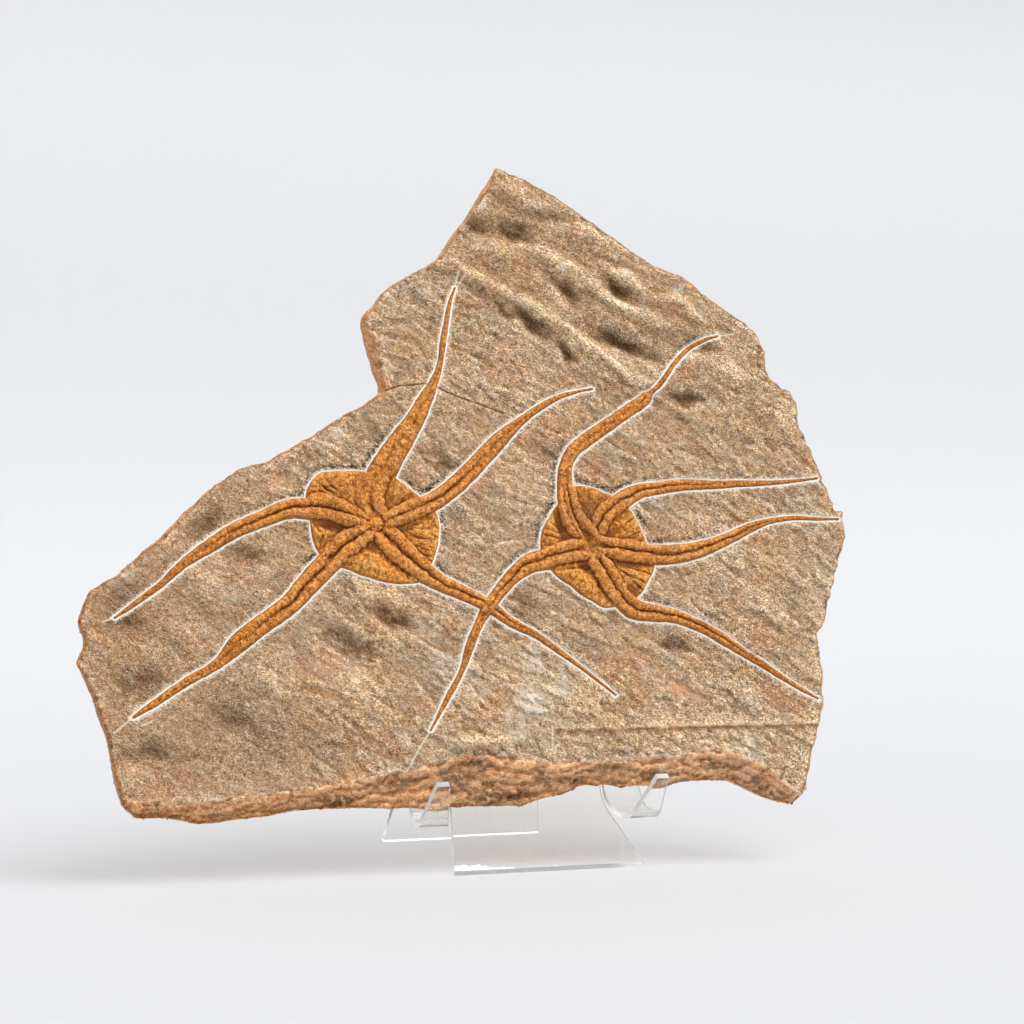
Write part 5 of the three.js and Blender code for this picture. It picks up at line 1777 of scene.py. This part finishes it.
class FOSSIL_OT_stage(Operator):
    """Adds the camera, the soft lights and the pale floor"""
    bl_idname = "fossil.stage"
    bl_label = "Stage"

    def execute(self, context):
        scene = context.scene
        stage = scene.fossil_stage
        data = bpy.data.cameras.new("camera")
        data.lens, data.sensor_width = stage.lens, 36
        data.clip_start, data.clip_end = 0.05, 30
        camera = added("camera", data)
        camera.location = stage.camera
        camera.rotation_euler = (math.radians(90), 0, stage.azimuth)
        scene.camera = camera

        world = bpy.data.worlds.new("pale_room")
        world.use_nodes = True
        b = Board(world.node_tree)
        rays = b.node("ShaderNodeLightPath")
        seen, cast = ((level,) * 3 + (1,) for level in (stage.surround, stage.sky))
        glow = b.blend(rays.outputs["Is Diffuse Ray"], seen, cast)
        back = b.node("ShaderNodeBackground", {"Color": glow})
        b.node("ShaderNodeOutputWorld", {"Surface": back.outputs[0]})
        scene.world = world

        for name, strength, spread, towards, shadow in (
            ("overhead_light", stage.overhead, math.radians(30), (0.30, -0.05, 1.0), False),
            ("top_softbox", stage.top_light, math.radians(50), (0.55, -0.42, 1.0), True),
            ("front_fill", stage.fill_light, math.radians(80), (-0.3, -1.0, 0.12), True),
        ):
            lamp = bpy.data.lights.new(name, "SUN")
            lamp.energy, lamp.angle, lamp.use_shadow = strength, spread, shadow
            made = added(name, lamp)
            made.visible_glossy = shadow
            made.location = Vector(towards) * 2
            made.rotation_euler = Vector(towards).to_track_quat("Z", "Y").to_euler()

        floor = self.sweep(stage.backdrop)
        scene.view_settings.view_transform = "Standard"
        return {"FINISHED"}

    def sweep(self, backdrop):
        """A seamless floor that curves up into the backdrop."""
        rows = [(-2.5, 0)] + [(1.3 + 0.9 * math.sin(a), 0.9 - 0.9 * math.cos(a))
                              for a in np.linspace(0, math.pi / 2, 24)] + [(2.2, 3.5)]
        points = [(x, y, z) for y, z in rows for x in (-4, 4)]
        faces = [(2 * k, 2 * k + 1, 2 * k + 3, 2 * k + 2) for k in range(len(rows) - 1)]
        mesh = bpy.data.meshes.new("pale_floor")
        mesh.from_pydata(points, [], faces)
        mesh.shade_smooth()
        paper, b = new_finish("pale_paper")
        here = b.node("ShaderNodeTexCoord").outputs["Object"]
        tone = b.blend(b.noise(here, 1.2, 2.0), colour(189, 190, 192), colour(192, 193, 195))
        height = b.node("ShaderNodeSeparateXYZ", {0: here}).outputs["Z"]
        lit = b.maths("MULTIPLY", b.span(height, 0.25, 0.8, smooth=True), backdrop)
        b.finish({
            "Base Color": tone, "Roughness": 0.9, "Specular IOR Level": 0.2,
            "Emission Color": colour(250, 251, 255), "Emission Strength": lit,
        })
        mesh.materials.append(paper)
        return added("pale_floor", mesh)


class FOSSIL_OT_slab(Operator):
    """Builds the sandstone slab with its broken edges"""
    bl_idname = "fossil.slab"
    bl_label = "Sandstone slab"

    def execute(self, context):
        settings = context.scene.fossil_slab
        finish = stone_finish(settings)
        slab = build_slab(settings, finish)
        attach(slab, "root")
        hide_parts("slab")
        sizes = {"Density": settings.grit_density, "Finish": finish}
        grit = grown("loose_grit", grit_tree(), slab.data.copy(), sizes)
        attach(grit, "root")
        return {"FINISHED"}


class FOSSIL_OT_stars(Operator):
    """Builds both brittle stars in relief, a piece for each disc and each arm"""
    bl_idname = "fossil.stars"
    bl_label = "Brittle stars"

    def execute(self, context):
        settings = context.scene.fossil_star
        finish = fossil_finish(settings)
        for star in STAR_FORMS.values():
            for piece, node in build_star(star, settings, finish):
                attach(piece, "root")
                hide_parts(node)
            scales = build_scales(star, settings, finish)
            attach(scales, "root")
        return {"FINISHED"}


class FOSSIL_OT_easel(Operator):
    """Builds the clear acrylic easel"""
    bl_idname = "fossil.easel"
    bl_label = "Acrylic easel"

    def execute(self, context):
        settings = context.scene.fossil_easel
        easel = build_easel(settings, acrylic_finish("clear_acrylic", 0.0, 1.0),
                            acrylic_finish("sawn_acrylic", 0.5, 0.72))
        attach(easel, "root")
        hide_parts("easel")
        return {"FINISHED"}


class FOSSIL_PT_panel(Panel):
    """Lists the pieces and their settings"""
    bl_idname = "FOSSIL_PT_panel"
    bl_label = "Fossil slab"
    bl_space_type = "VIEW_3D"
    bl_region_type = "UI"
    bl_category = "Fossil"

    def draw(self, context):
        for holder, (_, operator) in HOLDERS.items():
            group = getattr(context.scene, holder)
            box = self.layout.box()
            for name in group.bl_rna.properties.keys():
                if name not in ("rna_type", "name"):
                    box.prop(group, name)
            box.operator(operator.bl_idname)


# Where each group of settings is kept, and the operator that reads it.
HOLDERS = {
    "fossil_stage": (FossilStageSettings, FOSSIL_OT_stage),
    "fossil_slab": (FossilSlabSettings, FOSSIL_OT_slab),
    "fossil_star": (FossilStarSettings, FOSSIL_OT_stars),
    "fossil_easel": (FossilEaselSettings, FOSSIL_OT_easel),
}
CLASSES = (*(made for pair in HOLDERS.values() for made in pair), FOSSIL_PT_panel)


def register():
    """Adds the classes, and the settings to the scene."""
    for made in CLASSES:
        bpy.utils.register_class(made)
    for name, (group, _) in HOLDERS.items():
        setattr(bpy.types.Scene, name, PointerProperty(type=group))


def unregister():
    """Takes the settings and the classes away again."""
    for name in HOLDERS:
        delattr(bpy.types.Scene, name)
    for made in reversed(CLASSES):
        bpy.utils.unregister_class(made)


def main():
    """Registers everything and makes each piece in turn."""
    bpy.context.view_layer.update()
    register()
    bpy.ops.fossil.stage()
    bpy.ops.fossil.slab()
    bpy.ops.fossil.stars()
    bpy.ops.fossil.easel()


if __name__ == "__main__":
    main()
